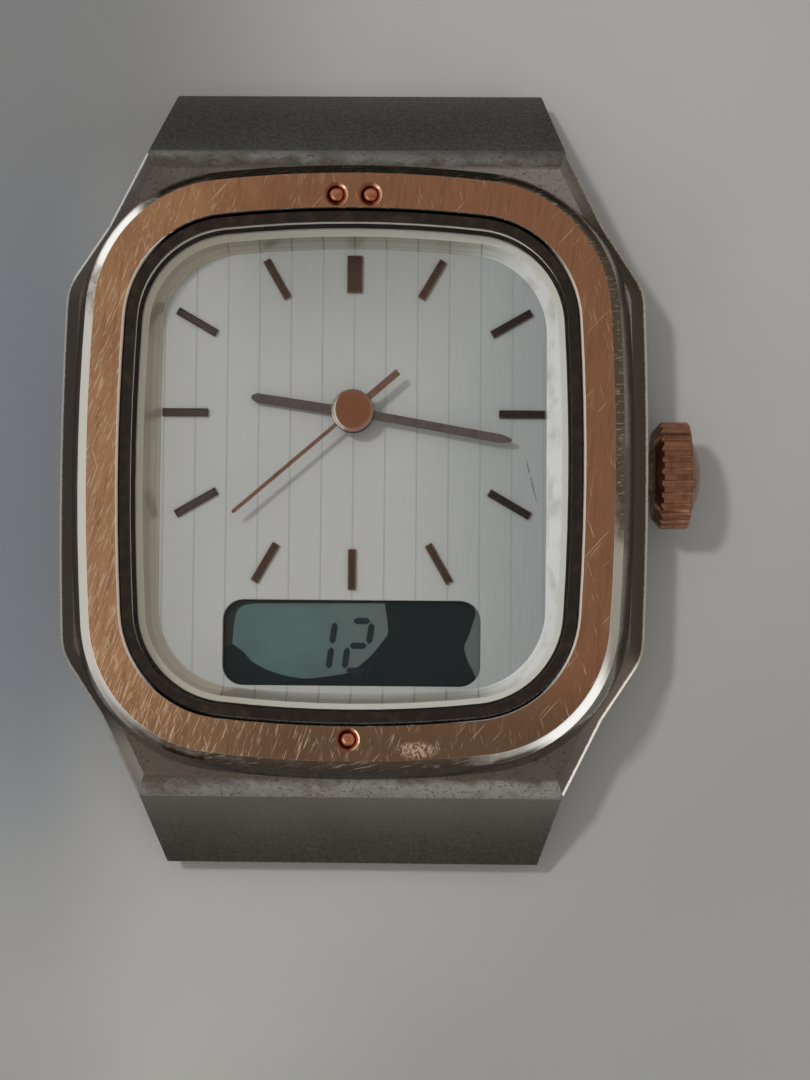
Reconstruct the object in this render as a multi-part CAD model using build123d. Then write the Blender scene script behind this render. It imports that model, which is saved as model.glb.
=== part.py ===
from build123d import *
import math
import os

# A wristwatch head with hands over a small digital window, in millimetres.
# X points at the crown, Y at twelve o'clock and Z out of the dial.
# The origin is the middle of the flat underside of the case back.

# Clearances and the overrun that every cut shares
fit_gap = 0.02
running_gap = 0.04
loose_gap = 0.1
overrun = 0.5

# Case middle, seen from above
case_half_length = 18.3
case_half_width = 13.65
end_half_width = 8.72
fold_half_width = 9.73
hood_length = 3.23
hood_top_length = 1.02
shoulder_x = 11.56
shoulder_y = 11.4
waist_x = 13.47
waist_y = 8.5
waist_round = 2.5
shoulder_round = 1.0

# Case middle, seen from the side
case_bottom = 0.8
case_bottom_bevel = 0.7
end_edge_height = 1.75
fold_height = 4.5
widest_height = 4.6
flank_inset = 0.7
seat_height = 5.2
collar_wall = 0.8
collar_top = 7.0
ledge_inset = 0.55
ledge_bottom = 6.3
ledge_top = 6.6

# The bowed outline that the bezel, the window and what lies under it share
side_arc_radius = 110.0
end_arc_radius = 54.0

# Bezel and its studs
window_half_width = 10.5
bezel_end_overhang = 0.15
window_round = 4.9
bezel_flat_width = 1.42
bezel_flat_height = 1.65
bezel_flat_round = 6.1
bezel_skirt_round = 7.2
bezel_top = 7.9
bezel_skirt_gap = 0.1
bezel_skirt_side = 1.05
bezel_skirt_end = 0.92
bezel_edge_bevel = 0.45
bezel_inner_bevel = 0.09
bezel_inner_bevel_depth = 0.15
stud_radius = 0.36
stud_seat_depth = 0.36
dimple_radius = 0.55
dimple_depth = 0.2
stud_rise = 0.12
stud_inset = 0.98
stud_pair_spacing = 1.54

# Crystal and its gasket
gasket_wall = 0.45
gasket_flange = 0.12
gasket_flange_height = 0.15
gasket_top = 7.8
crystal_top = 7.75

# Ring between the crystal and the dial
ring_clearance = 0.12
ring_step_height = 5.9
ring_top_inset = 0.1
ring_step_inset = 0.35

# Dial
dial_top = 5.0
dial_thickness = 0.4
dial_side_inset = 1.57
dial_end_inset = 1.33
dial_window_round = 3.7
dial_side_arc_radius = 900.0
hands_y = 2.64
dial_hole_radius = 0.8
dial_foot_radius = 0.35
dial_foot_x = 7.6
dial_foot_y = 6.2
dial_low_foot_y = -4.6
display_half_width = 5.93
display_half_height = 1.97
display_y = -7.96
display_round = 0.95

# Applied hour markers, from twelve round to six o'clock; the other side mirrors them
marker_inner_shares = [0.629, 0.692, 0.825, 0.753, 0.813, 0.783, 0.704]
marker_outer_shares = [0.822, 0.919, 1.059, 0.991, 1.056, 1.010, 0.913]
marker_width = 0.36
twelve_marker_width = 0.7
marker_height = 0.26
marker_bevel = 0.06

# Hands; the angles are those of the time shown, clockwise from twelve
hour_angle = 278.4
minute_angle = 100.0
second_angle = 229.2
hour_hand_length = 4.75
hour_hand_width = 0.43
minute_hand_length = 7.4
minute_hand_width = 0.39
second_hand_length = 7.22
second_hand_width = 0.18
second_tail_length = 2.75
second_tail_width = 0.32
hand_thickness = 0.12
hour_tip_length = 0.25
minute_tip_length = 0.5
second_tip_length = 0.12
hand_point_share = 0.4
hour_hand_height = 5.38
minute_hand_height = 5.82
second_hand_height = 6.24
hour_boss_radius = 0.95
minute_boss_radius = 0.95
second_boss_radius = 0.97
boss_height = 0.2
second_boss_dome = 0.16

# Arbor and pipes on the hands' axis
second_arbor_radius = 0.1
minute_pipe_wall = 0.17
hour_pipe_wall = 0.22

# Case back
back_half_width = 11.95
back_half_height = 13.15
back_round = 6.3
back_bevel = 0.3
cavity_side_margin = 0.4
cavity_end_margin = 0.47
back_rim_wall = 0.5
back_rim_top = 1.5
back_gasket_wall = 0.55
back_gasket_height = 0.26
opener_width = 3.0
opener_depth = 0.5
opener_height = 0.4

# Strap ends
strap_gap_half_width = 7.0
strap_gap_setback = 0.72
strap_gap_top = 3.3
strap_roof_thickness = 0.85
spring_bar_setback = 2.0
spring_bar_z = 1.9
spring_bar_hole_radius = 0.45

# Crown, its tube and the stem
crown_z = 3.4
crown_gap = 0.25
crown_chamfer_length = 0.4
crown_chamfer_depth = 0.45
crown_radius = 2.5
crown_length = 1.7
crown_edge_bevel = 0.1
crown_dome_radius = 1.9
crown_dome_rise = 0.56
crown_wall = 0.4
flute_count = 28
flute_radius = 0.17
tube_radius = 0.92
tube_inner_setback = 0.1
tube_reach = 1.08
tube_groove = 0.3
crown_press = 0.15
crown_gasket_length = 0.45
crown_gasket_offset = 0.1
stem_radius = 0.4
stem_reach = 1.5
stem_groove_x = 7.9
stem_groove_width = 0.5
stem_groove_radius = 0.25
stem_square_start = 7.4
stem_square_end = 5.3
stem_square_side = 0.54

# Clutch wheel on the stem's square
clutch_start = 5.6
clutch_end = 7.0
clutch_teeth = 12
clutch_module = 0.13
clutch_gear_length = 0.5
clutch_sleeve_radius = 0.72
clutch_groove_radius = 0.52
clutch_groove_start = 6.35
clutch_groove_width = 0.35

# Setting lever and yoke
lever_pivot_x = 8.35
lever_pivot_y = -2.1
lever_pin_y = -0.5
lever_pin_radius = 0.14
lever_thickness = 0.2
lever_bottom = 3.95
lever_hub_radius = 0.42
lever_post_radius = 0.2
lever_width = 0.5
yoke_pivot_x = 7.3
yoke_pivot_y = -3.4
yoke_thickness = 0.18
yoke_fork_depth = 0.7

# Movement holder and main plate
holder_wall = 0.9
holder_bottom = 1.56
holder_top = 4.55
plate_bottom = 2.6
plate_top = 3.6
plate_gap = 0.08
stem_slot_half_width = 1.08
lug_x = 9.1
lug_length = 0.7
lug_half_width = 1.0
lug_top = 3.9

# Going train: wheel and pinion tooth counts, and its centre distances
rotor_teeth = 6
fifth_teeth = 60
fifth_pinion_teeth = 10
fourth_teeth = 30
fourth_pinion_teeth = 8
third_teeth = 60
third_pinion_teeth = 8
centre_teeth = 64
rotor_distance = 1.98
fifth_distance = 2.6
third_distance = 2.55
fifth_angle = 60.0
third_angle = 150.0
rotor_angle = 50.0

# Motion work under the dial
cannon_teeth = 10
minute_wheel_teeth = 30
minute_pinion_teeth = 8
hour_teeth = 32
setting_teeth = 20
motion_distance = 2.0
motion_angle = -40.0
setting_angle = -25.0

# Levels of the wheels, and their thickness
wheel_thickness = 0.12
bridge_bottom = 1.35
bridge_thickness = 0.3
rotor_pinion_level = 1.74
fifth_level = 1.76
third_level = 1.96
fourth_level = 2.12
centre_level = 2.36
minute_wheel_level = 3.95
hour_level = 4.2
pivot_radius = 0.1
motion_post_radius = 0.25
jewel_radius = 0.32
tooth_rise_share = 0.85
tooth_root_share = 1.2
tooth_foot_share = 0.3
tooth_tip_share = 0.11

# Rotor magnet, stator and coil
magnet_radius = 0.55
magnet_bottom = 1.98
magnet_top = 2.45
stator_bottom = 2.05
stator_top = 2.32
stator_hole_radius = 0.75
stator_ring_radius = 1.35
stator_neck = 0.25
stator_arm_width = 1.0
stator_arm_y = 7.55
core_y = 9.2
core_width = 0.8
core_left = -7.0
core_right = 6.0
core_bottom = 2.34
core_top = 2.58
coil_left = -5.0
coil_right = 4.0
coil_width = 1.7
coil_bottom = 1.6
coil_top = 3.35
coil_round = 0.4

# Battery and what holds it
battery_x = -5.0
battery_y = -3.6
battery_radius = 3.95
battery_bottom = 1.2
battery_top = 3.28
battery_cap_radius = 3.35
battery_cap_height = 0.25
insulator_wall = 0.18
clamp_bottom = 0.92
clamp_thickness = 0.2
clamp_width = 1.8

# Circuit
board_top = 2.5
board_thickness = 0.22
board_battery_gap = 0.25
board_right_y = -3.6
board_right_x = 0.2
chip_x = 3.6
chip_y = -6.0
chip_side = 2.6
chip_height = 0.5
can_x = 3.4
can_y = -9.0
can_radius = 0.56
can_length = 5.0
trimmer_x = 7.2
trimmer_y = -5.6
trimmer_side = 1.5
trimmer_height = 0.6

# Digital display
glass_half_width = 6.3
glass_half_height = 2.65
glass_thickness = 0.3
film_thickness = 0.07
lcd_bottom = 3.7
lcd_frame_wall = 0.45
zebra_width = 0.6
zebra_half_length = 6.0
digit_height = 2.58
digit_width = 1.25
digit_bar = 0.29
digit_pitch = 1.7
digit_x = -0.84
digit_drop = 0.12
digit_lean_angle = 8.0
segment_thickness = 0.03

# Screws
screw_radius = 0.25
screw_head_radius = 0.45
screw_head_height = 0.22
screw_slot_width = 0.1
screw_slot_depth = 0.08
pillar_radius = 0.5
low_pillar_x = -2.4
low_pillar_y = 0.8
right_pillar_x = 3.9
right_pillar_y = 3.0
left_pillar_x = -4.2
left_pillar_y = 6.4


fold_y = case_half_length - hood_length
roof_start_y = fold_y - hood_top_length
strap_gap_y = fold_y - strap_gap_setback
spring_bar_y = case_half_length - spring_bar_setback
window_half_height = roof_start_y - bezel_flat_height - bezel_skirt_end + bezel_end_overhang
stud_y = window_half_height + bezel_flat_height - stud_inset
dial_window_half_width = window_half_width - dial_side_inset
dial_window_half_height = window_half_height - dial_end_inset
cavity_half_width = window_half_width + cavity_side_margin
cavity_half_height = window_half_height + cavity_end_margin
cavity_round = window_round + cavity_side_margin
plate_round = cavity_round - holder_wall - plate_gap
crown_start = case_half_width + crown_gap
tube_inner_end = cavity_half_width + tube_inner_setback
tube_outer_end = crown_start + tube_reach
stem_outer_end = crown_start + stem_reach
stem_slot_end = stem_square_end - crown_press - loose_gap
board_upper_y = battery_y - battery_radius - insulator_wall - board_battery_gap


def corner_of(half_width, half_height, side_radius):
    """Where the bowed side and the bowed end of an outline meet."""
    x, y = half_width, half_height
    for _ in range(4):
        x = half_width - y * y / (2 * side_radius)
        y = half_height - x * x / (2 * end_arc_radius)
    return x, y


def outline(half_width, half_height, corner_round, side_radius=side_arc_radius):
    """A rounded rectangle whose four sides bow outwards a little."""
    x, y = corner_of(half_width, half_height, side_radius)
    edges = [
        ThreePointArc((x, -y), (half_width, 0), (x, y)),
        ThreePointArc((x, y), (0, half_height), (-x, y)),
        ThreePointArc((-x, y), (-half_width, 0), (-x, -y)),
        ThreePointArc((-x, -y), (0, -half_height), (x, -y)),
    ]
    face = make_face(edges)
    return fillet(face.vertices(), corner_round)


def window(grow):
    """The bezel's window, grown or shrunk evenly."""
    return outline(window_half_width + grow, window_half_height + grow, window_round + grow)


def cavity(grow):
    """The case's inner opening, grown or shrunk evenly."""
    return outline(cavity_half_width + grow, cavity_half_height + grow, cavity_round + grow)


def dial_window(grow):
    """The opening over the dial, nearly straight at its sides, grown or shrunk evenly."""
    return outline(
        dial_window_half_width + grow,
        dial_window_half_height + grow,
        dial_window_round + grow,
        dial_side_arc_radius,
    )


def plate_outline(shrink):
    """The movement's own outline inside its holder."""
    inset = -holder_wall - plate_gap - shrink
    return outline(cavity_half_width + inset, cavity_half_height + inset, plate_round - shrink)


def slab(face, bottom, top):
    """A flat face made solid between two heights."""
    return Pos(0, 0, bottom) * extrude(face, top - bottom)


def disc(x, y, radius, bottom, top):
    """An upright round bar."""
    return Pos(x, y, (bottom + top) / 2) * Cylinder(radius, top - bottom)


def block(x_low, x_high, y_low, y_high, z_low, z_high):
    """A box between stated corners."""
    centre = Pos((x_low + x_high) / 2, (y_low + y_high) / 2, (z_low + z_high) / 2)
    return centre * Box(x_high - x_low, y_high - y_low, z_high - z_low)


def bar_along_x(radius, start, end, y, z):
    """A round bar that lies along X."""
    return Pos((start + end) / 2, y, z) * Rot(0, 90, 0) * Cylinder(radius, end - start)


def around(angle, distance, centre=(0, 0)):
    """A point at a distance and a direction in degrees from a centre."""
    turn = math.radians(angle)
    return centre[0] + distance * math.cos(turn), centre[1] + distance * math.sin(turn)


bridge_pillars = [
    (low_pillar_x, low_pillar_y),
    (right_pillar_x, right_pillar_y),
    (left_pillar_x, left_pillar_y),
]
hands_centre = (0, hands_y)
fifth_centre = around(fifth_angle, fifth_distance, hands_centre)
third_centre = around(third_angle, third_distance, hands_centre)
rotor_centre = around(rotor_angle, rotor_distance, fifth_centre)
minute_wheel_centre = around(motion_angle, motion_distance, hands_centre)
motion_module = 2 * motion_distance / (cannon_teeth + minute_wheel_teeth)
setting_distance = motion_module * (minute_wheel_teeth + setting_teeth) / 2
setting_centre = around(setting_angle, setting_distance, minute_wheel_centre)


def toothed_face(teeth, module, phase):
    """A wheel's face with straight-flanked teeth, one of them at the phase angle."""
    pitch = module * teeth / 2
    tip = pitch + module * tooth_rise_share
    root = pitch - module * tooth_root_share
    step = 360 / teeth
    points = []
    for tooth in range(teeth):
        middle = phase + tooth * step
        for radius, share in (
            (root, -tooth_foot_share),
            (tip, -tooth_tip_share),
            (tip, tooth_tip_share),
            (root, tooth_foot_share),
        ):
            points.append(around(middle + share * step, radius))
    return make_face(Polyline(*points, close=True))


def wheel(centre, teeth, module, phase, bottom, top):
    """A toothed wheel or pinion at its place."""
    flat = toothed_face(teeth, module, phase)
    return Pos(centre[0], centre[1], bottom) * extrude(flat, top - bottom)


def meshed_phase(direction, phase, teeth, next_teeth):
    """The phase of a wheel that meshes with another in a given direction."""
    return direction + 180 + (direction - phase) * teeth / next_teeth - 180 / next_teeth


def case_outline():
    """The case seen from above: straight tapering ends and gently bowed sides."""
    quarter = [
        (waist_x, waist_y),
        (shoulder_x, shoulder_y),
        (fold_half_width, fold_y),
        (end_half_width, case_half_length),
    ]
    right_top = quarter
    left_top = [(-x, y) for x, y in reversed(quarter)]
    left_bottom = [(-x, -y) for x, y in quarter]
    right_bottom = [(x, -y) for x, y in reversed(quarter)]
    edges = [
        Polyline(*right_top, *left_top),
        ThreePointArc(left_top[-1], (-case_half_width, 0), left_bottom[0]),
        Polyline(*left_bottom, *right_bottom),
        ThreePointArc(right_bottom[-1], (case_half_width, 0), right_top[0]),
    ]
    face = make_face(edges)
    for y, x, size in (
        (waist_y, waist_x, waist_round),
        (shoulder_y, shoulder_x, shoulder_round),
    ):
        near = [
            v
            for v in face.vertices()
            if abs(abs(v.Y) - y) < fit_gap and abs(abs(v.X) - x) < fit_gap
        ]
        face = fillet(near, size)
    return face


def roof_profile():
    """The case's length seen from the side, as a prism across its width."""
    half = [
        (case_half_length, -overrun),
        (case_half_length, end_edge_height),
        (fold_y, fold_height),
        (roof_start_y, seat_height),
    ]
    points = half + [(-y, z) for y, z in reversed(half)]
    face = Plane.YZ * make_face(Polyline(*points, close=True))
    return extrude(face, case_half_width + overrun, both=True)


def strap_gap():
    """The space under one hooded end that takes the strap's or bracelet's end."""
    slope = (fold_height - end_edge_height) / (case_half_length - fold_y)
    ceiling_end = case_half_length + overrun
    ceiling_start = fold_y + (fold_height - strap_roof_thickness - strap_gap_top) / slope
    points = [
        (strap_gap_y, -overrun),
        (strap_gap_y, strap_gap_top),
        (ceiling_start, strap_gap_top),
        (ceiling_end, strap_gap_top - (ceiling_end - ceiling_start) * slope),
        (ceiling_end, -overrun),
    ]
    face = Plane.YZ * make_face(Polyline(*points, close=True))
    return extrude(face, strap_gap_half_width, both=True)


def make_case_middle():
    """The steel body, with its hooded ends and its collar."""
    plan = case_outline()
    body = slab(plan, case_bottom, seat_height)
    body = chamfer(body.edges().group_by(Axis.Z)[0], case_bottom_bevel)
    top = body.faces().sort_by(Axis.Z)[-1]
    flank = seat_height - widest_height
    body = chamfer(top.edges(), flank_inset, flank, reference=top)
    body &= roof_profile()
    body += slab(window(collar_wall), seat_height - fit_gap, collar_top)
    body -= slab(cavity(0), case_bottom - overrun, ledge_bottom)
    body -= slab(window(-ledge_inset), ledge_bottom - overrun, ledge_top + overrun)
    body -= slab(window(0), ledge_top, collar_top + overrun)
    body -= slab(
        cavity(back_gasket_wall + fit_gap * 2),
        case_bottom - overrun,
        case_bottom + back_gasket_height + fit_gap,
    )
    gap = strap_gap()
    body -= gap + mirror(gap, Plane.XZ)
    for side in (1, -1):
        reach = fold_half_width + overrun
        body -= bar_along_x(
            spring_bar_hole_radius, -reach, reach, side * spring_bar_y, spring_bar_z
        )
    outside = case_half_width + overrun
    body -= bar_along_x(tube_radius + fit_gap, cavity_half_width - overrun, outside, 0, crown_z)
    return body


def bezel_flat(grow):
    """The bezel's flat top as a face out to its outer edge, or that much past it."""
    return outline(
        window_half_width + bezel_flat_width + grow,
        window_half_height + bezel_flat_height + grow,
        bezel_flat_round + grow,
    )


def bezel_skirt():
    """The foot of the bezel's outer bevel as a face."""
    grow = bezel_flat_width + bezel_skirt_side
    rise = bezel_flat_height + bezel_skirt_end
    return outline(window_half_width + grow, window_half_height + rise, bezel_skirt_round)


def make_bezel():
    """The ring round the crystal: a flat top, a narrow and a steep outer bevel, a bright inner one."""
    bottom = seat_height + bezel_skirt_gap
    rim = bezel_top - bezel_edge_bevel
    widest = Pos(0, 0, rim) * bezel_flat(bezel_edge_bevel)
    body = loft([Pos(0, 0, bottom) * bezel_skirt(), widest], ruled=True)
    body += loft([widest, Pos(0, 0, bezel_top) * bezel_flat(0)], ruled=True)
    body -= slab(window(0), bottom - overrun, bezel_top + overrun)
    body -= slab(window(collar_wall + fit_gap), bottom - overrun, collar_top + fit_gap)
    start = bezel_top - bezel_inner_bevel_depth
    body -= loft(
        [Pos(0, 0, start) * window(0), Pos(0, 0, bezel_top) * window(bezel_inner_bevel)],
        ruled=True,
    )
    bowl = (dimple_radius**2 + dimple_depth**2) / (2 * dimple_depth)
    for x, y in stud_places():
        body -= Pos(x, y, bezel_top - dimple_depth + bowl) * Sphere(bowl)
        seat = bezel_top - stud_seat_depth
        body -= disc(x, y, stud_radius + fit_gap, seat, bezel_top + overrun)
    return body


def stud_places():
    """Two studs at twelve o'clock and one at six."""
    half = stud_pair_spacing / 2
    return [(-half, stud_y), (half, stud_y), (0, -stud_y)]


def make_bezel_studs():
    """Small polished domes, pegged into the bottoms of the bezel's round dimples."""
    floor = bezel_top - stud_seat_depth + fit_gap
    shoulder = bezel_top + stud_rise - stud_radius
    studs = []
    for x, y in stud_places():
        dome = Pos(x, y, shoulder) * Sphere(stud_radius)
        dome &= disc(x, y, stud_radius, shoulder, bezel_top + stud_rise)
        studs.append(disc(x, y, stud_radius, floor, shoulder) + dome)
    return Compound(children=[Part(s.wrapped) for s in studs])


def make_crystal_gasket():
    """The black ring that holds the crystal, with a thin flange under its edge."""
    outer = window(-fit_gap * 4)
    body = slab(outer, ledge_top + fit_gap, gasket_top)
    flange_top = ledge_top + gasket_flange_height
    body -= slab(window(-fit_gap * 4 - gasket_wall), flange_top, gasket_top + overrun)
    inner = window(-fit_gap * 4 - gasket_wall - gasket_flange)
    body -= slab(inner, ledge_top - overrun, flange_top + overrun)
    return body


def make_crystal():
    """The flat mineral glass, with its top edge bevelled."""
    bottom = ledge_top + gasket_flange_height + fit_gap
    body = slab(window(-fit_gap * 5 - gasket_wall), bottom, crystal_top)
    return chamfer(body.edges().group_by(Axis.Z)[-1], bezel_inner_bevel)


def make_dial_ring():
    """The polished ring that steps down from the crystal to the dial."""
    bottom = dial_top + fit_gap
    top = ledge_bottom - fit_gap
    body = slab(cavity(-ring_clearance), bottom, top)
    rim = window(-ledge_inset - ring_top_inset)
    step = window(-ledge_inset - ring_step_inset)
    body -= loft([Pos(0, 0, ring_step_height) * step, Pos(0, 0, top) * rim], ruled=True)
    body -= loft(
        [Pos(0, 0, bottom) * dial_window(0), Pos(0, 0, ring_step_height) * step], ruled=True
    )
    return body


def display_face(grow):
    """The digital window's rounded rectangle."""
    rounded = RectangleRounded(
        2 * (display_half_width + grow), 2 * (display_half_height + grow), display_round + grow
    )
    return Pos(0, display_y) * rounded


def make_dial():
    """The dial plate, with the display window, the hands' hole and two feet."""
    bottom = dial_top - dial_thickness
    body = slab(cavity(-ring_clearance), bottom, dial_top)
    body -= slab(display_face(0), bottom - overrun, dial_top + overrun)
    body -= disc(0, hands_y, dial_hole_radius, bottom - overrun, dial_top + overrun)
    for x, y in foot_places():
        body += disc(x, y, dial_foot_radius, plate_bottom, bottom + fit_gap)
    return body


def foot_places():
    """The dial's two feet, on a diagonal."""
    return [(-dial_foot_x, dial_foot_y), (dial_foot_x, dial_low_foot_y)]


def make_hour_markers():
    """Twelve applied batons, the one at twelve o'clock twice as wide."""
    bottom = dial_top + fit_gap
    markers = []
    for hour in range(12):
        index = min(hour, 12 - hour)
        inner = marker_inner_shares[index] * dial_window_half_width
        outer = marker_outer_shares[index] * dial_window_half_width
        width = twelve_marker_width if hour == 0 else marker_width
        bar = Pos(0, (inner + outer) / 2, bottom + marker_height / 2) * Box(
            width, outer - inner, marker_height
        )
        bar = chamfer(bar.edges().group_by(Axis.Z)[-1], marker_bevel)
        markers.append(Pos(0, hands_y) * Rot(0, 0, -30 * hour) * bar)
    return Compound(children=[Part(m.wrapped) for m in markers])


def hand_blade(length, width, tip, bottom):
    """A straight blade along Y with a short clipped point."""
    half = width / 2
    point = half * hand_point_share
    points = [
        (-half, 0),
        (-half, length - tip),
        (-point, length),
        (point, length),
        (half, length - tip),
        (half, 0),
    ]
    return slab(make_face(Polyline(*points, close=True)), bottom, bottom + hand_thickness)


def on_hands_axis(shape, angle):
    """Turns a hand clockwise from twelve and sets it on the hands' axis."""
    return Pos(0, hands_y) * Rot(0, 0, -angle) * shape


minute_bore = second_arbor_radius + running_gap
minute_pipe_radius = minute_bore + minute_pipe_wall
hour_bore = minute_pipe_radius + running_gap
hour_pipe_radius = hour_bore + hour_pipe_wall


def make_hour_hand():
    """The hour hand, pressed on the hour wheel's pipe."""
    bottom = hour_hand_height
    body = disc(0, 0, hour_boss_radius, bottom, bottom + boss_height)
    body = chamfer(body.edges().group_by(Axis.Z)[-1], marker_bevel)
    body += hand_blade(hour_hand_length, hour_hand_width, hour_tip_length, bottom)
    body -= disc(0, 0, hour_pipe_radius + fit_gap, bottom - overrun, bottom + overrun)
    return on_hands_axis(body, hour_angle)


def make_minute_hand():
    """The minute hand, pressed on the centre wheel's pipe."""
    bottom = minute_hand_height
    body = disc(0, 0, minute_boss_radius, bottom, bottom + boss_height)
    body = chamfer(body.edges().group_by(Axis.Z)[-1], marker_bevel)
    body += hand_blade(minute_hand_length, minute_hand_width, minute_tip_length, bottom)
    body -= disc(0, 0, minute_pipe_radius + fit_gap, bottom - overrun, bottom + overrun)
    return on_hands_axis(body, minute_angle)


def make_second_hand():
    """The second hand: a thin needle, a wider tail and a domed boss."""
    bottom = second_hand_height
    top = bottom + boss_height
    rise = second_boss_dome
    ball = (second_boss_radius**2 + rise**2) / (2 * rise)
    dome = Pos(0, 0, top + rise - ball) * Sphere(ball)
    dome &= disc(0, 0, second_boss_radius, top - fit_gap, top + rise)
    body = disc(0, 0, second_boss_radius, bottom, top) + dome
    body += hand_blade(second_hand_length, second_hand_width, second_tip_length, bottom)
    half = second_tail_width / 2
    body += block(-half, half, -second_tail_length, 0, bottom, bottom + hand_thickness)
    body -= disc(0, 0, second_arbor_radius + fit_gap, bottom - overrun, top)
    return on_hands_axis(body, second_angle)


fourth_module = 2 * fifth_distance / (fourth_teeth + fifth_pinion_teeth)
third_module = 2 * third_distance / (third_teeth + fourth_pinion_teeth)
centre_module = 2 * third_distance / (centre_teeth + third_pinion_teeth)
rotor_module = 2 * rotor_distance / (rotor_teeth + fifth_teeth)
hour_module = 2 * motion_distance / (hour_teeth + minute_pinion_teeth)


def make_fourth_wheel():
    """The seconds wheel: its arbor runs up through the minute pipe."""
    low = third_level - running_gap
    top = fourth_level + wheel_thickness
    body = wheel(hands_centre, fourth_teeth, fourth_module, 0, fourth_level, top)
    body += wheel(hands_centre, fourth_pinion_teeth, third_module, 0, low, fourth_level)
    arbor_top = second_hand_height + boss_height - fit_gap
    body += disc(0, hands_y, second_arbor_radius, bridge_bottom, arbor_top)
    return body


def make_fifth_wheel():
    """The wheel between the rotor and the seconds wheel."""
    phase = meshed_phase(fifth_angle, 0, fourth_teeth, fifth_pinion_teeth)
    body = wheel(
        fifth_centre, fifth_teeth, rotor_module, 0, fifth_level, fifth_level + wheel_thickness
    )
    top = centre_level - running_gap
    body += wheel(fifth_centre, fifth_pinion_teeth, fourth_module, phase, fifth_level, top)
    return body + disc(*fifth_centre, pivot_radius, bridge_bottom, plate_bottom + plate_gap)


def make_third_wheel():
    """The wheel between the seconds wheel and the centre wheel."""
    phase = meshed_phase(third_angle, 0, fourth_pinion_teeth, third_teeth)
    top = third_level + wheel_thickness
    body = wheel(third_centre, third_teeth, third_module, phase, third_level, top)
    pinion_top = centre_level + wheel_thickness + running_gap
    body += wheel(third_centre, third_pinion_teeth, centre_module, 0, third_level, pinion_top)
    return body + disc(*third_centre, pivot_radius, bridge_bottom, plate_bottom + plate_gap)


def make_centre_wheel():
    """The minute wheel of the train, with the pipe that carries the minute hand."""
    direction = third_angle + 180
    phase = meshed_phase(direction, 0, third_pinion_teeth, centre_teeth)
    top = centre_level + wheel_thickness
    body = wheel(hands_centre, centre_teeth, centre_module, phase, centre_level, top)
    pipe_top = minute_hand_height + boss_height - fit_gap
    body += disc(0, hands_y, minute_pipe_radius, centre_level, pipe_top)
    low = minute_wheel_level - running_gap
    body += wheel(
        hands_centre, cannon_teeth, motion_module, 0, low, hour_level - running_gap
    )
    return body - disc(0, hands_y, minute_bore, centre_level - overrun, pipe_top + overrun)


def make_hour_wheel():
    """The hour wheel, with the pipe that carries the hour hand."""
    top = hour_level + wheel_thickness
    body = wheel(hands_centre, hour_teeth, hour_module, 0, hour_level, top)
    pipe_top = hour_hand_height + boss_height - fit_gap
    body += disc(0, hands_y, hour_pipe_radius, hour_level, pipe_top)
    return body - disc(0, hands_y, hour_bore, hour_level - overrun, pipe_top + overrun)


def make_minute_wheel():
    """The reduction wheel and pinion beside the hands' axis, under the dial."""
    phase = meshed_phase(motion_angle, 0, cannon_teeth, minute_wheel_teeth)
    top = minute_wheel_level + wheel_thickness
    body = wheel(
        minute_wheel_centre, minute_wheel_teeth, motion_module, phase, minute_wheel_level, top
    )
    pinion_phase = meshed_phase(motion_angle, 0, hour_teeth, minute_pinion_teeth)
    pinion_top = hour_level + wheel_thickness + running_gap
    body += disc(*minute_wheel_centre, motion_module * minute_pinion_teeth / 3, top, pinion_top)
    body += wheel(
        minute_wheel_centre, minute_pinion_teeth, hour_module, pinion_phase, top, pinion_top
    )
    bore = pivot_radius + running_gap
    return body - disc(*minute_wheel_centre, bore, minute_wheel_level - overrun, dial_top)


def make_setting_wheel():
    """The wheel that the clutch drives when the crown is pulled out."""
    start = meshed_phase(motion_angle, 0, cannon_teeth, minute_wheel_teeth)
    phase = meshed_phase(setting_angle, start, minute_wheel_teeth, setting_teeth)
    top = minute_wheel_level + wheel_thickness
    body = wheel(setting_centre, setting_teeth, motion_module, phase, minute_wheel_level, top)
    bore = motion_post_radius + running_gap
    return body - disc(*setting_centre, bore, minute_wheel_level - overrun, dial_top)


def make_rotor():
    """The stepping motor's rotor: a round magnet on a small pinion."""
    phase = meshed_phase(rotor_angle, 0, fifth_teeth, rotor_teeth)
    body = wheel(
        rotor_centre, rotor_teeth, rotor_module, phase, rotor_pinion_level, magnet_bottom
    )
    body += disc(*rotor_centre, magnet_radius, magnet_bottom, magnet_top)
    return body + disc(*rotor_centre, pivot_radius, bridge_bottom, plate_bottom + plate_gap)


def make_stator():
    """The stator plate round the rotor, with an arm to each end of the coil's core."""
    x, y = rotor_centre
    half = stator_arm_width / 2
    far_left = core_left
    far_right = core_right
    flat = Pos(x, y) * Circle(stator_ring_radius)

    def strip(x_low, x_high, y_low, y_high):
        size = Rectangle(x_high - x_low, y_high - y_low)
        return Pos((x_low + x_high) / 2, (y_low + y_high) / 2) * size

    flat += strip(far_left, x, stator_arm_y - half, stator_arm_y + half)
    flat += strip(x - half, x + half, y, stator_arm_y + half)
    flat += strip(far_left, far_left + stator_arm_width, stator_arm_y, core_y + core_width / 2)
    flat += strip(x, far_right, y - half, y + half)
    flat += strip(far_right - stator_arm_width, far_right, y, core_y + core_width / 2)
    flat -= Pos(x, y) * Circle(stator_hole_radius)
    for side in (1, -1):
        neck = around(45 + 90 * side, stator_ring_radius, (x, y))
        flat -= Pos(*neck) * Circle(stator_neck)
    return slab(flat, stator_bottom, stator_top)


def make_coil_core():
    """The soft iron bar that the coil is wound on."""
    half = core_width / 2
    return block(core_left, core_right, core_y - half, core_y + half, core_bottom, core_top)


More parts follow.
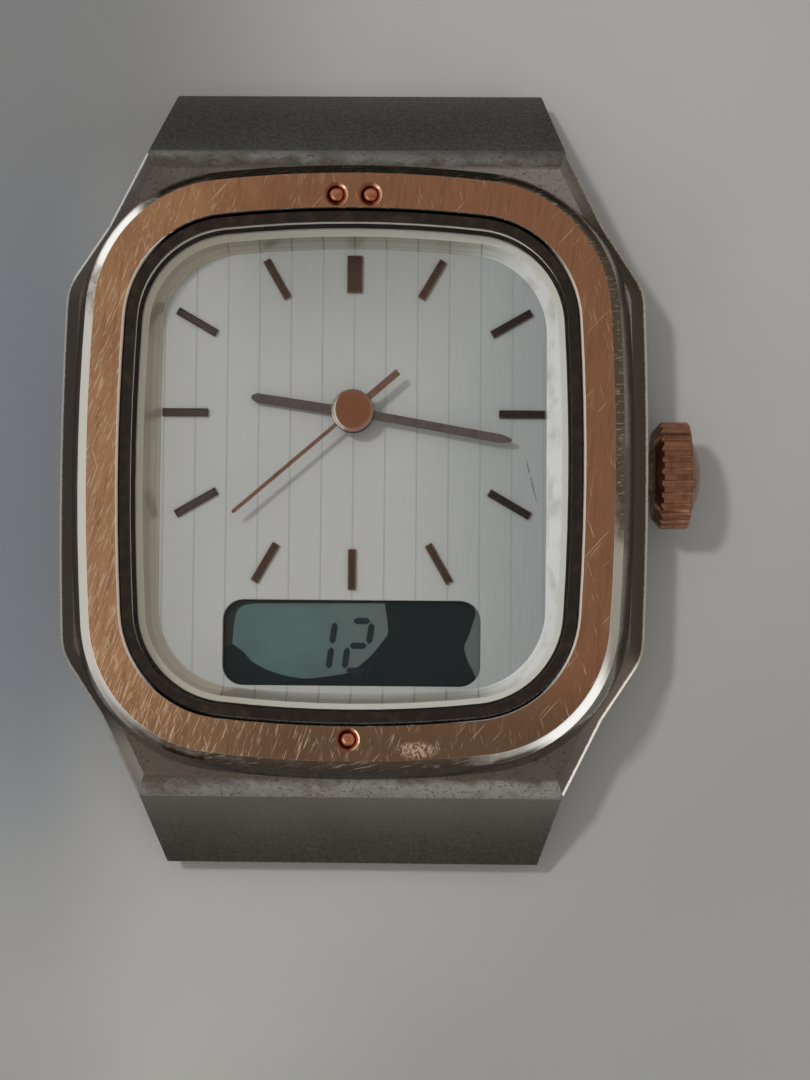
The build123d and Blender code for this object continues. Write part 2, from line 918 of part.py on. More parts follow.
def make_coil():
    """The copper winding, as a rounded block with the core's slot through it."""
    half = coil_width / 2
    body = block(coil_left, coil_right, core_y - half, core_y + half, coil_bottom, coil_top)
    body = fillet(body.edges().filter_by(Axis.X), coil_round)
    slot = core_width / 2 + fit_gap
    return body - block(
        coil_left - overrun,
        coil_right + overrun,
        core_y - slot,
        core_y + slot,
        core_bottom - fit_gap,
        core_top + fit_gap,
    )


def bridge_outline(grow):
    """The train bridge from above: the hull of its pillars and of the rotor's pivot."""
    discs = [Pos(x, y) * Circle(pillar_radius + loose_gap * 3) for x, y in bridge_pillars]
    discs.append(Pos(*rotor_centre) * Circle(jewel_radius + loose_gap * 3))
    edges = [edge for shape in discs for edge in shape.edges()]
    return make_hull(edges)


def make_train_bridge():
    """The bridge over the going train, on three pillars."""
    top = bridge_bottom + bridge_thickness
    body = slab(bridge_outline(0), bridge_bottom, top)
    for x, y in bridge_pillars:
        body += disc(x, y, pillar_radius, top - fit_gap, plate_bottom - fit_gap)
        body -= disc(x, y, screw_radius + fit_gap, bridge_bottom - overrun, plate_bottom)
    for centre in (hands_centre, third_centre, fifth_centre, rotor_centre):
        body -= disc(*centre, jewel_radius + fit_gap, bridge_bottom - overrun, top + overrun)
    return body


def make_pivot_jewels():
    """The four ring jewels pressed into the bridge."""
    top = bridge_bottom + bridge_thickness
    jewels = []
    for centre in (hands_centre, third_centre, fifth_centre, rotor_centre):
        ring = disc(*centre, jewel_radius, bridge_bottom, top)
        jewels.append(ring - disc(*centre, pivot_radius + running_gap, 0, top + overrun))
    return Compound(children=[Part(j.wrapped) for j in jewels])


def screw(x, y, head_bottom, tip):
    """A slotted screw whose head faces the case back."""
    head_low = head_bottom - screw_head_height
    body = disc(x, y, screw_head_radius, head_low, head_bottom)
    body += disc(x, y, screw_radius, head_bottom - fit_gap, tip)
    half = screw_slot_width / 2
    reach = screw_head_radius + overrun
    return body - block(
        x - reach, x + reach, y - half, y + half, head_low - overrun, head_low + screw_slot_depth
    )


def make_bridge_screws():
    """Three screws that hold the train bridge down on the main plate."""
    tip = plate_bottom + plate_gap * 5
    screws = [screw(x, y, bridge_bottom - fit_gap, tip) for x, y in bridge_pillars]
    return Compound(children=[Part(s.wrapped) for s in screws])


def make_main_plate():
    """The plate that everything in the movement is set on."""
    body = slab(plate_outline(0), plate_bottom, plate_top)
    body -= disc(0, hands_y, minute_pipe_radius + running_gap, plate_bottom - overrun, dial_top)
    recess = battery_radius + insulator_wall + loose_gap
    body -= disc(battery_x, battery_y, recess, plate_bottom - overrun, battery_top + fit_gap)
    for centre in (third_centre, fifth_centre, rotor_centre):
        hole = pivot_radius + running_gap
        body -= disc(*centre, hole, plate_bottom - overrun, plate_bottom + plate_gap * 2)
    for x, y in bridge_pillars:
        body -= disc(x, y, screw_radius + fit_gap, plate_bottom - overrun, plate_bottom + overrun)
    for x, y in foot_places():
        body -= disc(x, y, dial_foot_radius + fit_gap, plate_bottom - overrun, plate_top + overrun)
    reach = coil_width / 2 + loose_gap
    body -= block(
        coil_left - loose_gap,
        coil_right + loose_gap,
        core_y - reach,
        core_y + reach,
        plate_bottom - overrun,
        plate_top + overrun,
    )
    body -= block(
        stem_slot_end,
        cavity_half_width,
        -stem_slot_half_width,
        stem_slot_half_width,
        plate_bottom - overrun,
        plate_top + overrun,
    )
    zebra_y = zebra_centre_y()
    half = zebra_width / 2 + fit_gap
    body -= block(
        -zebra_half_length - fit_gap,
        zebra_half_length + fit_gap,
        zebra_y - half,
        zebra_y + half,
        plate_bottom - overrun,
        plate_top + overrun,
    )
    lug = block(
        lug_x, lug_x + lug_length, -lug_half_width - loose_gap, lug_half_width + loose_gap,
        plate_bottom, lug_top,
    )
    body += lug
    body -= bar_along_x(stem_radius + running_gap, stem_slot_end, cavity_half_width, 0, crown_z)
    post_top = hour_level + wheel_thickness + running_gap
    body += disc(*minute_wheel_centre, pivot_radius, plate_top - fit_gap, post_top)
    body += disc(*setting_centre, motion_post_radius, plate_top - fit_gap, post_top)
    lever_top = lever_bottom + lever_thickness + running_gap
    body += disc(lever_pivot_x, lever_pivot_y, lever_post_radius, plate_top - fit_gap, lever_top)
    body += disc(yoke_pivot_x, yoke_pivot_y, lever_post_radius, plate_top - fit_gap, lever_top)
    return body


def make_movement_holder():
    """The plastic ring between the movement and the case."""
    inner = outline(
        cavity_half_width - holder_wall, cavity_half_height - holder_wall, plate_round + plate_gap
    )
    body = slab(cavity(-loose_gap), holder_bottom, holder_top)
    body -= slab(inner, holder_bottom - overrun, holder_top + overrun)
    hole = stem_radius + loose_gap * 2
    return body - bar_along_x(hole, stem_slot_end, cavity_half_width + overrun, 0, crown_z)


def zebra_centre_y():
    """The middle of the contact strip under the display's lower edge."""
    return display_y - glass_half_height + zebra_width / 2 + fit_gap


def display_layer(half_width, half_height, bottom, thickness):
    """One flat layer of the display."""
    flat = Pos(0, display_y) * Rectangle(2 * half_width, 2 * half_height)
    return slab(flat, bottom, bottom + thickness)


rear_glass_bottom = lcd_bottom + film_thickness + fit_gap
segment_bottom = rear_glass_bottom + glass_thickness + fit_gap / 2
front_glass_bottom = segment_bottom + segment_thickness + fit_gap / 2
polarizer_bottom = front_glass_bottom + glass_thickness + fit_gap
rear_glass_half_height = glass_half_height - zebra_width - fit_gap * 2


def make_lcd_reflector():
    """The silvered film behind the display."""
    return display_layer(glass_half_width, rear_glass_half_height, lcd_bottom, film_thickness)


def make_lcd_rear_glass():
    """The display's rear glass, set back from the contact strip."""
    return display_layer(
        glass_half_width, rear_glass_half_height, rear_glass_bottom, glass_thickness
    )


def make_lcd_front_glass():
    """The display's front glass, whose overhang carries the contacts."""
    return display_layer(
        glass_half_width, glass_half_height, front_glass_bottom, glass_thickness
    )


def make_lcd_polarizer():
    """The film on the display's front."""
    inset = loose_gap
    return display_layer(
        glass_half_width - inset, glass_half_height - inset, polarizer_bottom, film_thickness
    )


def segment(start, end):
    """One pointed bar of a digit, between two corners of it."""
    length = math.dist(start, end)
    half = digit_bar / 2
    gap = digit_bar / 4
    points = [
        (-length / 2 + gap, 0),
        (-length / 2 + gap + half, half),
        (length / 2 - gap - half, half),
        (length / 2 - gap, 0),
        (length / 2 - gap - half, -half),
        (-length / 2 + gap + half, -half),
    ]
    turn = math.degrees(math.atan2(end[1] - start[1], end[0] - start[0]))
    middle = ((start[0] + end[0]) / 2, (start[1] + end[1]) / 2)
    return Pos(*middle) * Rot(0, 0, turn) * make_face(Polyline(*points, close=True))


def make_lcd_segments():
    """The dark bars that show twelve, leaning as such digits do."""
    digit_y = display_y - digit_drop
    half_height = digit_height / 2 - digit_bar / 2
    half_width = digit_width / 2 - digit_bar / 2
    lean = math.tan(math.radians(digit_lean_angle))
    corners = {}
    for row, y in (("low", -half_height), ("middle", 0), ("high", half_height)):
        corners[row] = [(side * half_width + y * lean, y) for side in (-1, 1)]
    one = [(("low", 1), ("middle", 1)), (("middle", 1), ("high", 1))]
    two = [
        (("high", 0), ("high", 1)),
        (("high", 1), ("middle", 1)),
        (("middle", 0), ("middle", 1)),
        (("middle", 0), ("low", 0)),
        (("low", 0), ("low", 1)),
    ]
    bars = []
    for place, digit in enumerate((one, two)):
        shift = Pos(digit_x - digit_pitch / 2 + place * digit_pitch + digit_bar, digit_y)
        for (row, side), (next_row, next_side) in digit:
            bars.append(shift * segment(corners[row][side], corners[next_row][next_side]))
    top = segment_bottom + segment_thickness
    return Compound(children=[Part(slab(b, segment_bottom, top).wrapped) for b in bars])


def make_lcd_frame():
    """The plastic frame that carries the display's glasses."""
    outer_x = glass_half_width + lcd_frame_wall
    outer_y = glass_half_height + lcd_frame_wall
    bottom = plate_top + fit_gap
    top = dial_top - dial_thickness - fit_gap
    body = display_layer(outer_x, outer_y, bottom, top - bottom)
    body &= slab(plate_outline(0), bottom, top)
    hold_x = glass_half_width + fit_gap
    hold_y = glass_half_height + fit_gap
    body -= display_layer(hold_x, hold_y, lcd_bottom - fit_gap, dial_top)
    reach = zebra_width / 2 + fit_gap
    y = zebra_centre_y()
    length = zebra_half_length + fit_gap
    return body - block(-length, length, y - reach, y + reach, bottom - overrun, dial_top)


def make_zebra_strip():
    """The striped rubber that joins the display to the circuit board."""
    half = zebra_width / 2
    y = zebra_centre_y()
    top = front_glass_bottom - fit_gap
    length = zebra_half_length
    return block(-length, length, y - half, y + half, board_top + fit_gap, top)


def make_circuit_board():
    """The board under the main plate, on its lower and right side."""
    bottom = board_top - board_thickness
    flat = plate_outline(loose_gap) & block_face(
        -cavity_half_width, cavity_half_width, -cavity_half_height, board_upper_y
    )
    flat += plate_outline(loose_gap) & block_face(
        board_right_x, cavity_half_width, board_upper_y, board_right_y
    )
    body = slab(flat, bottom, board_top)
    for x, y in foot_places():
        body -= disc(x, y, dial_foot_radius + loose_gap, bottom - overrun, board_top + overrun)
    for x, y in board_screw_places():
        body -= disc(x, y, screw_radius + fit_gap, bottom - overrun, board_top + overrun)
    return body


def block_face(x_low, x_high, y_low, y_high):
    """A rectangle between stated corners."""
    size = Rectangle(x_high - x_low, y_high - y_low)
    return Pos((x_low + x_high) / 2, (y_low + y_high) / 2) * size


def board_screw_places():
    """The two screws that hold the circuit board."""
    edge = battery_x + screw_head_radius
    return [(edge, board_upper_y - screw_head_radius * 2), (board_right_x + 3 * screw_radius, board_right_y - 2 * screw_radius)]


def make_board_screws():
    """Two screws through the circuit board."""
    bottom = board_top - board_thickness
    screws = [screw(x, y, bottom - fit_gap, plate_bottom - fit_gap) for x, y in board_screw_places()]
    return Compound(children=[Part(s.wrapped) for s in screws])


def make_chip():
    """The moulded chip on the circuit board."""
    half = chip_side / 2
    top = board_top - board_thickness - fit_gap
    return block(chip_x - half, chip_x + half, chip_y - half, chip_y + half, top - chip_height, top)


def make_quartz_can():
    """The quartz crystal in its round metal can, lying on the board."""
    z = board_top - board_thickness - fit_gap - can_radius
    return bar_along_x(can_radius, can_x - can_length / 2, can_x + can_length / 2, can_y, z)


def make_trimmer():
    """The small trimming capacitor on the board."""
    half = trimmer_side / 2
    top = board_top - board_thickness - fit_gap
    low = top - trimmer_height
    body = block(trimmer_x - half, trimmer_x + half, trimmer_y - half, trimmer_y + half, low, top)
    return body


def make_battery():
    """The button cell, its smaller cap towards the dial."""
    low = battery_top - battery_cap_height
    body = disc(battery_x, battery_y, battery_radius, battery_bottom, low)
    return body + disc(battery_x, battery_y, battery_cap_radius, low - fit_gap, battery_top)


def make_battery_insulator():
    """The thin plastic sleeve round the button cell."""
    low = battery_bottom + clamp_thickness * 2
    top = battery_top - battery_cap_height
    inner = battery_radius + fit_gap
    body = disc(battery_x, battery_y, inner + insulator_wall, low, top)
    return body - disc(battery_x, battery_y, inner, low - overrun, top + overrun)


def clamp_screw_places():
    """The clamp's two screws, one each side of the cell along Y."""
    reach = battery_radius + insulator_wall + screw_head_radius + loose_gap
    return [(battery_x, battery_y + reach)]


def make_battery_clamp():
    """The spring strap that holds the cell and joins it to the plate."""
    half = clamp_width / 2
    reach = battery_radius + insulator_wall + screw_head_radius * 2 + loose_gap * 2
    top = clamp_bottom + clamp_thickness
    low_y = battery_y - battery_radius
    body = block(
        battery_x - half, battery_x + half, low_y, battery_y + reach, clamp_bottom, top
    )
    foot_low = battery_y + battery_radius + insulator_wall + fit_gap * 3
    body += block(
        battery_x - half,
        battery_x + half,
        foot_low,
        battery_y + reach,
        top - fit_gap,
        plate_bottom - fit_gap,
    )
    recess_top = clamp_bottom + screw_head_height + fit_gap
    for x, y in clamp_screw_places():
        body -= disc(x, y, screw_radius + fit_gap, clamp_bottom - overrun, plate_bottom)
        body -= disc(x, y, screw_head_radius + fit_gap, clamp_bottom - overrun, recess_top)
    return body


def make_clamp_screw():
    """The screw through the clamp's foot."""
    x, y = clamp_screw_places()[0]
    low = clamp_bottom + screw_head_height
    body = screw(x, y, low, plate_bottom - fit_gap)
    return body


def make_setting_lever():
    """The lever whose pin sits in the stem's groove and follows the crown in and out."""
    top = lever_bottom + lever_thickness
    middle = (lever_pin_y + lever_pivot_y) / 2
    half_travel = lever_pivot_x - stem_groove_x
    turn = math.degrees(math.atan2(half_travel, lever_pin_y - lever_pivot_y))
    length = math.hypot(half_travel, lever_pin_y - lever_pivot_y)
    arm = SlotCenterToCenter(length, lever_width)
    centre = Pos((stem_groove_x + lever_pivot_x) / 2, middle) * Rot(0, 0, 90 + turn)
    body = slab(centre * arm, lever_bottom, top)
    hub_bottom = plate_top + fit_gap
    body += disc(lever_pivot_x, lever_pivot_y, lever_hub_radius, hub_bottom, top)
    bore = lever_post_radius + running_gap
    body -= disc(lever_pivot_x, lever_pivot_y, bore, hub_bottom - overrun, top + overrun)
    pin_bottom = crown_z - lever_thickness
    return body + disc(stem_groove_x, lever_pin_y, lever_pin_radius, pin_bottom, lever_bottom + fit_gap)


def make_yoke():
    """The forked spring arm that sits in the clutch wheel's groove."""
    middle_x = clutch_groove_start + clutch_groove_width / 2
    thickness = clutch_groove_width - running_gap * 3
    bottom = plate_top + fit_gap
    top = bottom + yoke_thickness
    start = (yoke_pivot_x, yoke_pivot_y)
    knee = (middle_x, -clutch_sleeve_radius - lever_width * 2)
    tip = (middle_x, -clutch_groove_radius - running_gap)
    flat = Pos(*start) * Circle(lever_hub_radius)
    for a, b in ((start, knee), (knee, tip)):
        length = math.dist(a, b)
        turn = math.degrees(math.atan2(b[1] - a[1], b[0] - a[0]))
        bar = Rectangle(length, thickness)
        flat += Pos((a[0] + b[0]) / 2, (a[1] + b[1]) / 2) * Rot(0, 0, turn) * bar
    flat += Pos(*knee) * Circle(thickness / 2)
    body = slab(flat, bottom, top)
    return body - disc(*start, lever_post_radius + fit_gap, bottom - overrun, top + overrun)


def make_clutch_wheel():
    """The sliding pinion that turns with the stem's square."""
    body = bar_along_x(clutch_sleeve_radius, clutch_start, clutch_end, 0, 0)
    gear = extrude(
        toothed_face(clutch_teeth, clutch_module, 90), clutch_gear_length
    )
    body += Pos(clutch_start, 0, 0) * Rot(0, 90, 0) * gear
    ring = bar_along_x(
        clutch_sleeve_radius + overrun,
        clutch_groove_start,
        clutch_groove_start + clutch_groove_width,
        0,
        0,
    )
    ring -= bar_along_x(clutch_groove_radius, clutch_start, clutch_end, 0, 0)
    body -= ring
    half = stem_square_side / 2 + running_gap
    body -= block(clutch_start - overrun, clutch_end + overrun, -half, half, -half, half)
    return Pos(0, 0, crown_z) * body


def make_stem():
    """The winding stem: round where it runs in the tube, square inside the clutch wheel."""
    body = bar_along_x(stem_radius, stem_square_start, stem_outer_end, 0, 0)
    half = stem_groove_width / 2
    groove = bar_along_x(
        stem_radius + overrun, stem_groove_x - half, stem_groove_x + half, 0, 0
    )
    groove -= bar_along_x(stem_groove_radius, stem_groove_x - 2 * half, stem_groove_x + 2 * half, 0, 0)
    body -= groove
    side = stem_square_side / 2
    body += block(stem_square_end, stem_square_start + fit_gap, -side, side, -side, side)
    return Pos(0, 0, crown_z) * body


def make_crown_tube():
    """The tube pressed into the case that the crown and stem run on."""
    body = bar_along_x(tube_radius, tube_inner_end, tube_outer_end, 0, crown_z)
    bore = stem_radius + running_gap
    return body - bar_along_x(bore, tube_inner_end - overrun, tube_outer_end + overrun, 0, crown_z)


def crown_profile():
    """Half of the crown's section: radius against the distance along the stem."""
    chamfer_end = crown_start + crown_chamfer_length
    flat_end = crown_start + crown_length
    bevel = crown_edge_bevel
    inner = tube_radius + tube_groove
    back_wall = flat_end - crown_wall
    outer = [
        (crown_start, inner),
        (crown_start, crown_radius - crown_chamfer_depth),
        (chamfer_end, crown_radius),
        (flat_end - bevel, crown_radius),
        (flat_end, crown_radius - bevel),
        (flat_end, crown_dome_radius),
    ]
    apex = (flat_end + crown_dome_rise, 0)
    middle_turn = math.atan2(crown_dome_rise, crown_dome_radius)
    ball = (crown_dome_radius**2 + crown_dome_rise**2) / (2 * crown_dome_rise)
    half_angle = middle_turn
    middle = (
        apex[0] - ball + ball * math.cos(half_angle),
        ball * math.sin(half_angle),
    )
    edges = [
        Polyline(*outer),
        ThreePointArc(outer[-1], middle, apex),
        Polyline(apex, (back_wall, 0), (back_wall, inner), outer[0]),
    ]
    return make_face(edges)


def make_crown():
    """The fluted crown with its shallow domed cap."""
    face = crown_profile()
    body = revolve(face, Axis.X, 360)
    chamfer_end = crown_start + crown_chamfer_length
    flat_end = crown_start + crown_length
    flutes = []
    for index in range(flute_count):
        y, z = around(index * 360 / flute_count, crown_radius + flute_radius / 4)
        flutes.append(bar_along_x(flute_radius, chamfer_end - overrun, flat_end + fit_gap, y, z))
    body = body - flutes
    hole = stem_radius + fit_gap
    body -= bar_along_x(hole, crown_start, stem_outer_end + fit_gap, 0, 0)
    return Pos(0, 0, crown_z) * body


def make_crown_gasket():
    """The sealing ring inside the crown, round the tube."""
    start = crown_start + crown_gasket_offset
    end = start + crown_gasket_length
    body = bar_along_x(tube_radius + tube_groove - fit_gap, start, end, 0, crown_z)
    inner = tube_radius + running_gap
    return body - bar_along_x(inner, start - overrun, end + overrun, 0, crown_z)


def make_case_back():
    """The snap-on back: a flat plate with a rim that grips inside the case."""
    plate = slab(outline(back_half_width, back_half_height, back_round), 0, case_bottom - fit_gap)
    plate = chamfer(plate.edges().group_by(Axis.Z)[0], back_bevel)
    rim = slab(cavity(-fit_gap), case_bottom - fit_gap * 2, back_rim_top)
    rim -= slab(cavity(-fit_gap - back_rim_wall), 0, back_rim_top + overrun)
    edge = -back_half_height
    notch = block(
        -opener_width / 2,
        opener_width / 2,
        edge - overrun,
        edge + opener_depth,
        case_bottom - opener_height,
        case_bottom + overrun,
    )
    return plate + rim - notch


def make_back_gasket():
    """The seal in the step of the case, behind the back's rim."""
    bottom = case_bottom
    top = case_bottom + back_gasket_height
    body = slab(cavity(back_gasket_wall), bottom, top)
    return body - slab(cavity(fit_gap), bottom - overrun, top + overrun)


parts = {
    "case_middle": make_case_middle,
    "bezel": make_bezel,
    "bezel_studs": make_bezel_studs,
    "crystal": make_crystal,
    "crystal_gasket": make_crystal_gasket,
    "dial_ring": make_dial_ring,
    "dial": make_dial,
    "hour_markers": make_hour_markers,
    "hour_hand": make_hour_hand,
    "minute_hand": make_minute_hand,
    "second_hand": make_second_hand,
    "hour_wheel": make_hour_wheel,
    "minute_wheel": make_minute_wheel,
    "setting_wheel": make_setting_wheel,
    "centre_wheel": make_centre_wheel,
    "third_wheel": make_third_wheel,
    "fourth_wheel": make_fourth_wheel,
    "fifth_wheel": make_fifth_wheel,
    "rotor": make_rotor,
    "stator": make_stator,
    "coil_core": make_coil_core,
    "coil_winding": make_coil,
    "train_bridge": make_train_bridge,
    "pivot_jewels": make_pivot_jewels,
    "bridge_screws": make_bridge_screws,
    "main_plate": make_main_plate,
    "movement_holder": make_movement_holder,
    "lcd_frame": make_lcd_frame,
    "lcd_reflector": make_lcd_reflector,
    "lcd_rear_glass": make_lcd_rear_glass,
    "lcd_segments": make_lcd_segments,
    "lcd_front_glass": make_lcd_front_glass,
    "lcd_polarizer": make_lcd_polarizer,
    "zebra_strip": make_zebra_strip,
    "circuit_board": make_circuit_board,
    "board_screws": make_board_screws,
    "chip": make_chip,
    "quartz_can": make_quartz_can,
    "trimmer": make_trimmer,
    "battery": make_battery,
    "battery_insulator": make_battery_insulator,
    "battery_clamp": make_battery_clamp,
    "clamp_screw": make_clamp_screw,
    "setting_lever": make_setting_lever,
    "yoke": make_yoke,
    "clutch_wheel": make_clutch_wheel,
    "stem": make_stem,
    "crown": make_crown,
    "crown_gasket": make_crown_gasket,
    "crown_tube": make_crown_tube,
    "case_back": make_case_back,
    "back_gasket": make_back_gasket,
}

os.makedirs("parts", exist_ok=True)
for name, make in parts.items():
    export_step(make(), os.path.join("parts", name + ".step"))
    print(name)
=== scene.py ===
import bpy
import bmesh
import math
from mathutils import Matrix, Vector


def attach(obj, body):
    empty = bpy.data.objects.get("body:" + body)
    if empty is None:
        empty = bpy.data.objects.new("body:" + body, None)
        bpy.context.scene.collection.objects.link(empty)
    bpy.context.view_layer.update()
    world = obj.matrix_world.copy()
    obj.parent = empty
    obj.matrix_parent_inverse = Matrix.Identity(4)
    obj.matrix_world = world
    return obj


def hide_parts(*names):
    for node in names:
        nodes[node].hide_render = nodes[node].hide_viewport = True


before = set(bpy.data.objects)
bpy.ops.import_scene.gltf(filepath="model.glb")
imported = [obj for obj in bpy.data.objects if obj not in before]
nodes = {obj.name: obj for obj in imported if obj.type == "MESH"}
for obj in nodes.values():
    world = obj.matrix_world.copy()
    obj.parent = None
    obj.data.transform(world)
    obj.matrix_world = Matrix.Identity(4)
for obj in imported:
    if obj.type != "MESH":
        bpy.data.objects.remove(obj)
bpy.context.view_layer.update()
mm = 0.001
print("stage: packed frame loaded,", len(nodes), "nodes")


# node helpers

def addNode(tree, kind, inputs=None, **settings):
    item = tree.nodes.new(kind)
    for key, value in settings.items():
        setattr(item, key, value)
    for key, value in (inputs or {}).items():
        socket = item.inputs[key]
        if isinstance(value, bpy.types.NodeSocket):
            tree.links.new(value, socket)
        else:
            socket.default_value = value
    return item


def startMaterial(name):
    material = bpy.data.materials.new(name)
    material.use_nodes = True
    material.node_tree.nodes.clear()
    return material, material.node_tree


def endMaterial(tree, shader):
    addNode(tree, "ShaderNodeOutputMaterial", {"Surface": shader})


def rgb(colour):
    return (colour[0], colour[1], colour[2], 1.0)


def grey(level):
    return (level, level, level)


def objectPlace(tree, size=(1, 1, 1), turn=0.0, centre=(0, 0, 0)):
    # object coordinates in units of the given size, in millimetres
    coords = addNode(tree, "ShaderNodeTexCoord")
    mapping = addNode(tree, "ShaderNodeMapping", {
        "Vector": coords.outputs["Object"],
        "Location": [v * mm for v in centre],
        "Rotation": (0, 0, math.radians(turn)),
        "Scale": [v * mm for v in size],
    }, vector_type="TEXTURE")
    return mapping.outputs["Vector"]


def noise(tree, size, turn=0.0, detail=2.0, rough=0.5, twist=0.0, centre=(0, 0, 0)):
    # size is in millimetres, one number or three
    size = size if isinstance(size, tuple) else (size, size, size)
    texture = addNode(tree, "ShaderNodeTexNoise", {
        "Vector": objectPlace(tree, size, turn, centre),
        "Scale": 1.0, "Detail": detail, "Roughness": rough, "Distortion": twist,
    })
    return texture.outputs["Fac"]


def spread(tree, value, low, high, toLow=0.0, toHigh=1.0):
    # a soft step from toLow at low to toHigh at high
    item = addNode(tree, "ShaderNodeMapRange", {
        "Value": value, "From Min": low, "From Max": high, "To Min": toLow, "To Max": toHigh,
    }, interpolation_type="SMOOTHSTEP")
    return item.outputs["Result"]


def calc(tree, operation, *values):
    return addNode(tree, "ShaderNodeMath", dict(enumerate(values)), operation=operation).outputs[0]


def times(tree, first, *others):
    for other in others:
        first = calc(tree, "MULTIPLY", first, other)
    return first


def plus(tree, first, second):
    return calc(tree, "ADD", first, second)


def minus(tree, first, second):
    return calc(tree, "SUBTRACT", first, second)


def unsigned(tree, value):
    return calc(tree, "ABSOLUTE", value)


def blendColour(tree, factor, first, second):
    first = rgb(first) if isinstance(first, tuple) else first
    second = rgb(second) if isinstance(second, tuple) else second
    item = addNode(tree, "ShaderNodeMix", {0: factor, 6: first, 7: second}, data_type="RGBA")
    return item.outputs[2]


def colourStops(tree, factor, stops):
    # a colour ramp through pairs of place and colour
    item = addNode(tree, "ShaderNodeValToRGB", {0: factor})
    points = item.color_ramp.elements
    while len(points) < len(stops):
        points.new(0.5)
    for point, (place, colour) in zip(points, stops):
        point.position = place
        point.color = rgb(colour)
    return item.outputs["Color"]


def partsOf(tree, vector):
    return tuple(addNode(tree, "ShaderNodeSeparateXYZ", {"Vector": vector}).outputs)


def facing(tree):
    coords = addNode(tree, "ShaderNodeTexCoord")
    return partsOf(tree, coords.outputs["Normal"])


def position(tree):
    # object coordinates in millimetres
    return partsOf(tree, objectPlace(tree))


def lengthOf(tree, vector):
    return addNode(tree, "ShaderNodeVectorMath", {0: vector}, operation="LENGTH").outputs["Value"]


def around(tree, x, y):
    # 0 to 1 once round the dial, from nine o'clock by way of six
    return plus(tree, times(tree, calc(tree, "ARCTAN2", y, x), 1 / (2 * math.pi)), 0.5)


def bump(tree, height, depth, strength=1.0):
    item = addNode(tree, "ShaderNodeBump", {
        "Height": height, "Distance": depth * mm, "Strength": strength})
    return item.outputs["Normal"]


def surface(tree, **inputs):
    names = {
        "colour": "Base Color", "metal": "Metallic", "rough": "Roughness", "normal": "Normal",
        "shine": "Specular IOR Level",
    }
    values = {names[key]: value for key, value in inputs.items()}
    return addNode(tree, "ShaderNodeBsdfPrincipled", values).outputs[0]


def clearSheet(tree, tint, ior, rough):
    # clear glass that shows mirror images and bends nothing
    clear = addNode(tree, "ShaderNodeBsdfTransparent", {"Color": rgb(tint)})
    gloss = addNode(tree, "ShaderNodeBsdfGlossy", {"Color": rgb(grey(1)), "Roughness": rough})
    edge = addNode(tree, "ShaderNodeFresnel", {"IOR": ior})
    both = addNode(tree, "ShaderNodeMixShader", {
        0: edge.outputs[0], 1: clear.outputs[0], 2: gloss.outputs[0]})
    return both.outputs[0]


# mesh helpers

def finishMesh(name, bm, material, smoothAngle):
    mesh = bpy.data.meshes.new(name)
    bm.to_mesh(mesh)
    bm.free()
    mesh.materials.append(material)
    for polygon in mesh.polygons:
        polygon.use_smooth = True
    mesh.set_sharp_from_angle(angle=math.radians(smoothAngle))
    piece = bpy.data.objects.new(name, mesh)
    bpy.context.scene.collection.objects.link(piece)
    return piece


def newPiece(name, bm, material):
    bmesh.ops.recalc_face_normals(bm, faces=bm.faces)
    return finishMesh(name, bm, material, 30)


def nodeCopy(node):
    bm = bmesh.new()
    bm.from_mesh(nodes[node].data)
    bmesh.ops.remove_doubles(bm, verts=bm.verts, dist=0.0015 * mm)
    return bm


def softenedCopy(name, node, body, material, width, segments=2):
    # a merged copy of the node, with its sharp edges rounded
    bm = nodeCopy(node)
    bmesh.ops.dissolve_limit(bm, angle_limit=math.radians(0.6), verts=bm.verts, edges=bm.edges)
    sharp = [e for e in bm.edges
             if len(e.link_faces) == 2 and e.calc_face_angle() > math.radians(28)]
    bmesh.ops.bevel(bm, geom=sharp, offset=width * mm, offset_type="OFFSET", affect="EDGES",
                    segments=segments, profile=0.5, material=-1, clamp_overlap=True)
    bm.normal_update()
    piece = finishMesh(name, bm, material, 24)
    even = piece.modifiers.new("evenNormals", "WEIGHTED_NORMAL")  # keeps the flats flat
    even.weight = 100
    even.keep_sharp = True
    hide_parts(node)
    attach(piece, body)
    return piece


def dress(material, *names):
    for name in names:
        for slot in nodes[name].material_slots:
            slot.material = material


# brushed case steel: smooth end facets darkened with painted shade, grime round the foot of the
# bezel

caseSteel = {
    "clean": (0.44, 0.43, 0.405), "dull": (0.33, 0.31, 0.28), "shadedFacet": (0.26, 0.255, 0.235),
    "grime": (0.17, 0.140, 0.116), "speck": (0.06, 0.055, 0.05), "shelfClean": (0.36, 0.33, 0.30),
    # painted shade on the bevelled flank, painted highlight on its lower edge; away from and beside
    # the crown
    "flank": (0.062, 0.052, 0.044), "flankRight": (0.105, 0.086, 0.070),
    "edge": (0.44, 0.43, 0.41), "edgeHighlightRight": (0.72, 0.66, 0.58),
    # painted light and painted shade for the flank's corners
    "corner": (0.34, 0.31, 0.285), "cornerShade": (0.075, 0.065, 0.058), "cornerY": (11.0, 13.5),
    # heights above the table
    "foldHeight": 4.5, "edgeHeight": 4.70, "shelfHeight": 5.17,
    "grimeStart": 4.72, "grimeWidth": 0.42, "grimeTop": 5.4, "grimeLeanX": -0.010,
    "grimeLeanY": 0.002, "grimeAmount": 0.9,
    "streaks": {"size": (6.0, 0.05, 0.4), "detail": 3, "rough": 0.6},
    "blotch": {"size": (1.0, 0.8, 0.9), "detail": 5, "rough": 0.62, "twist": 0.4},
    "fine": {"size": 0.15, "detail": 4, "rough": 0.7},
    "slow": {"size": (5.0, 4.0, 4.0), "detail": 2},
    "speckRange": (0.57, 0.62), "speckAmount": 0.65,
    "rough": (0.22, 0.32), "grimeRough": 0.15, "relief": 0.0022, "softening": 0.05,
}


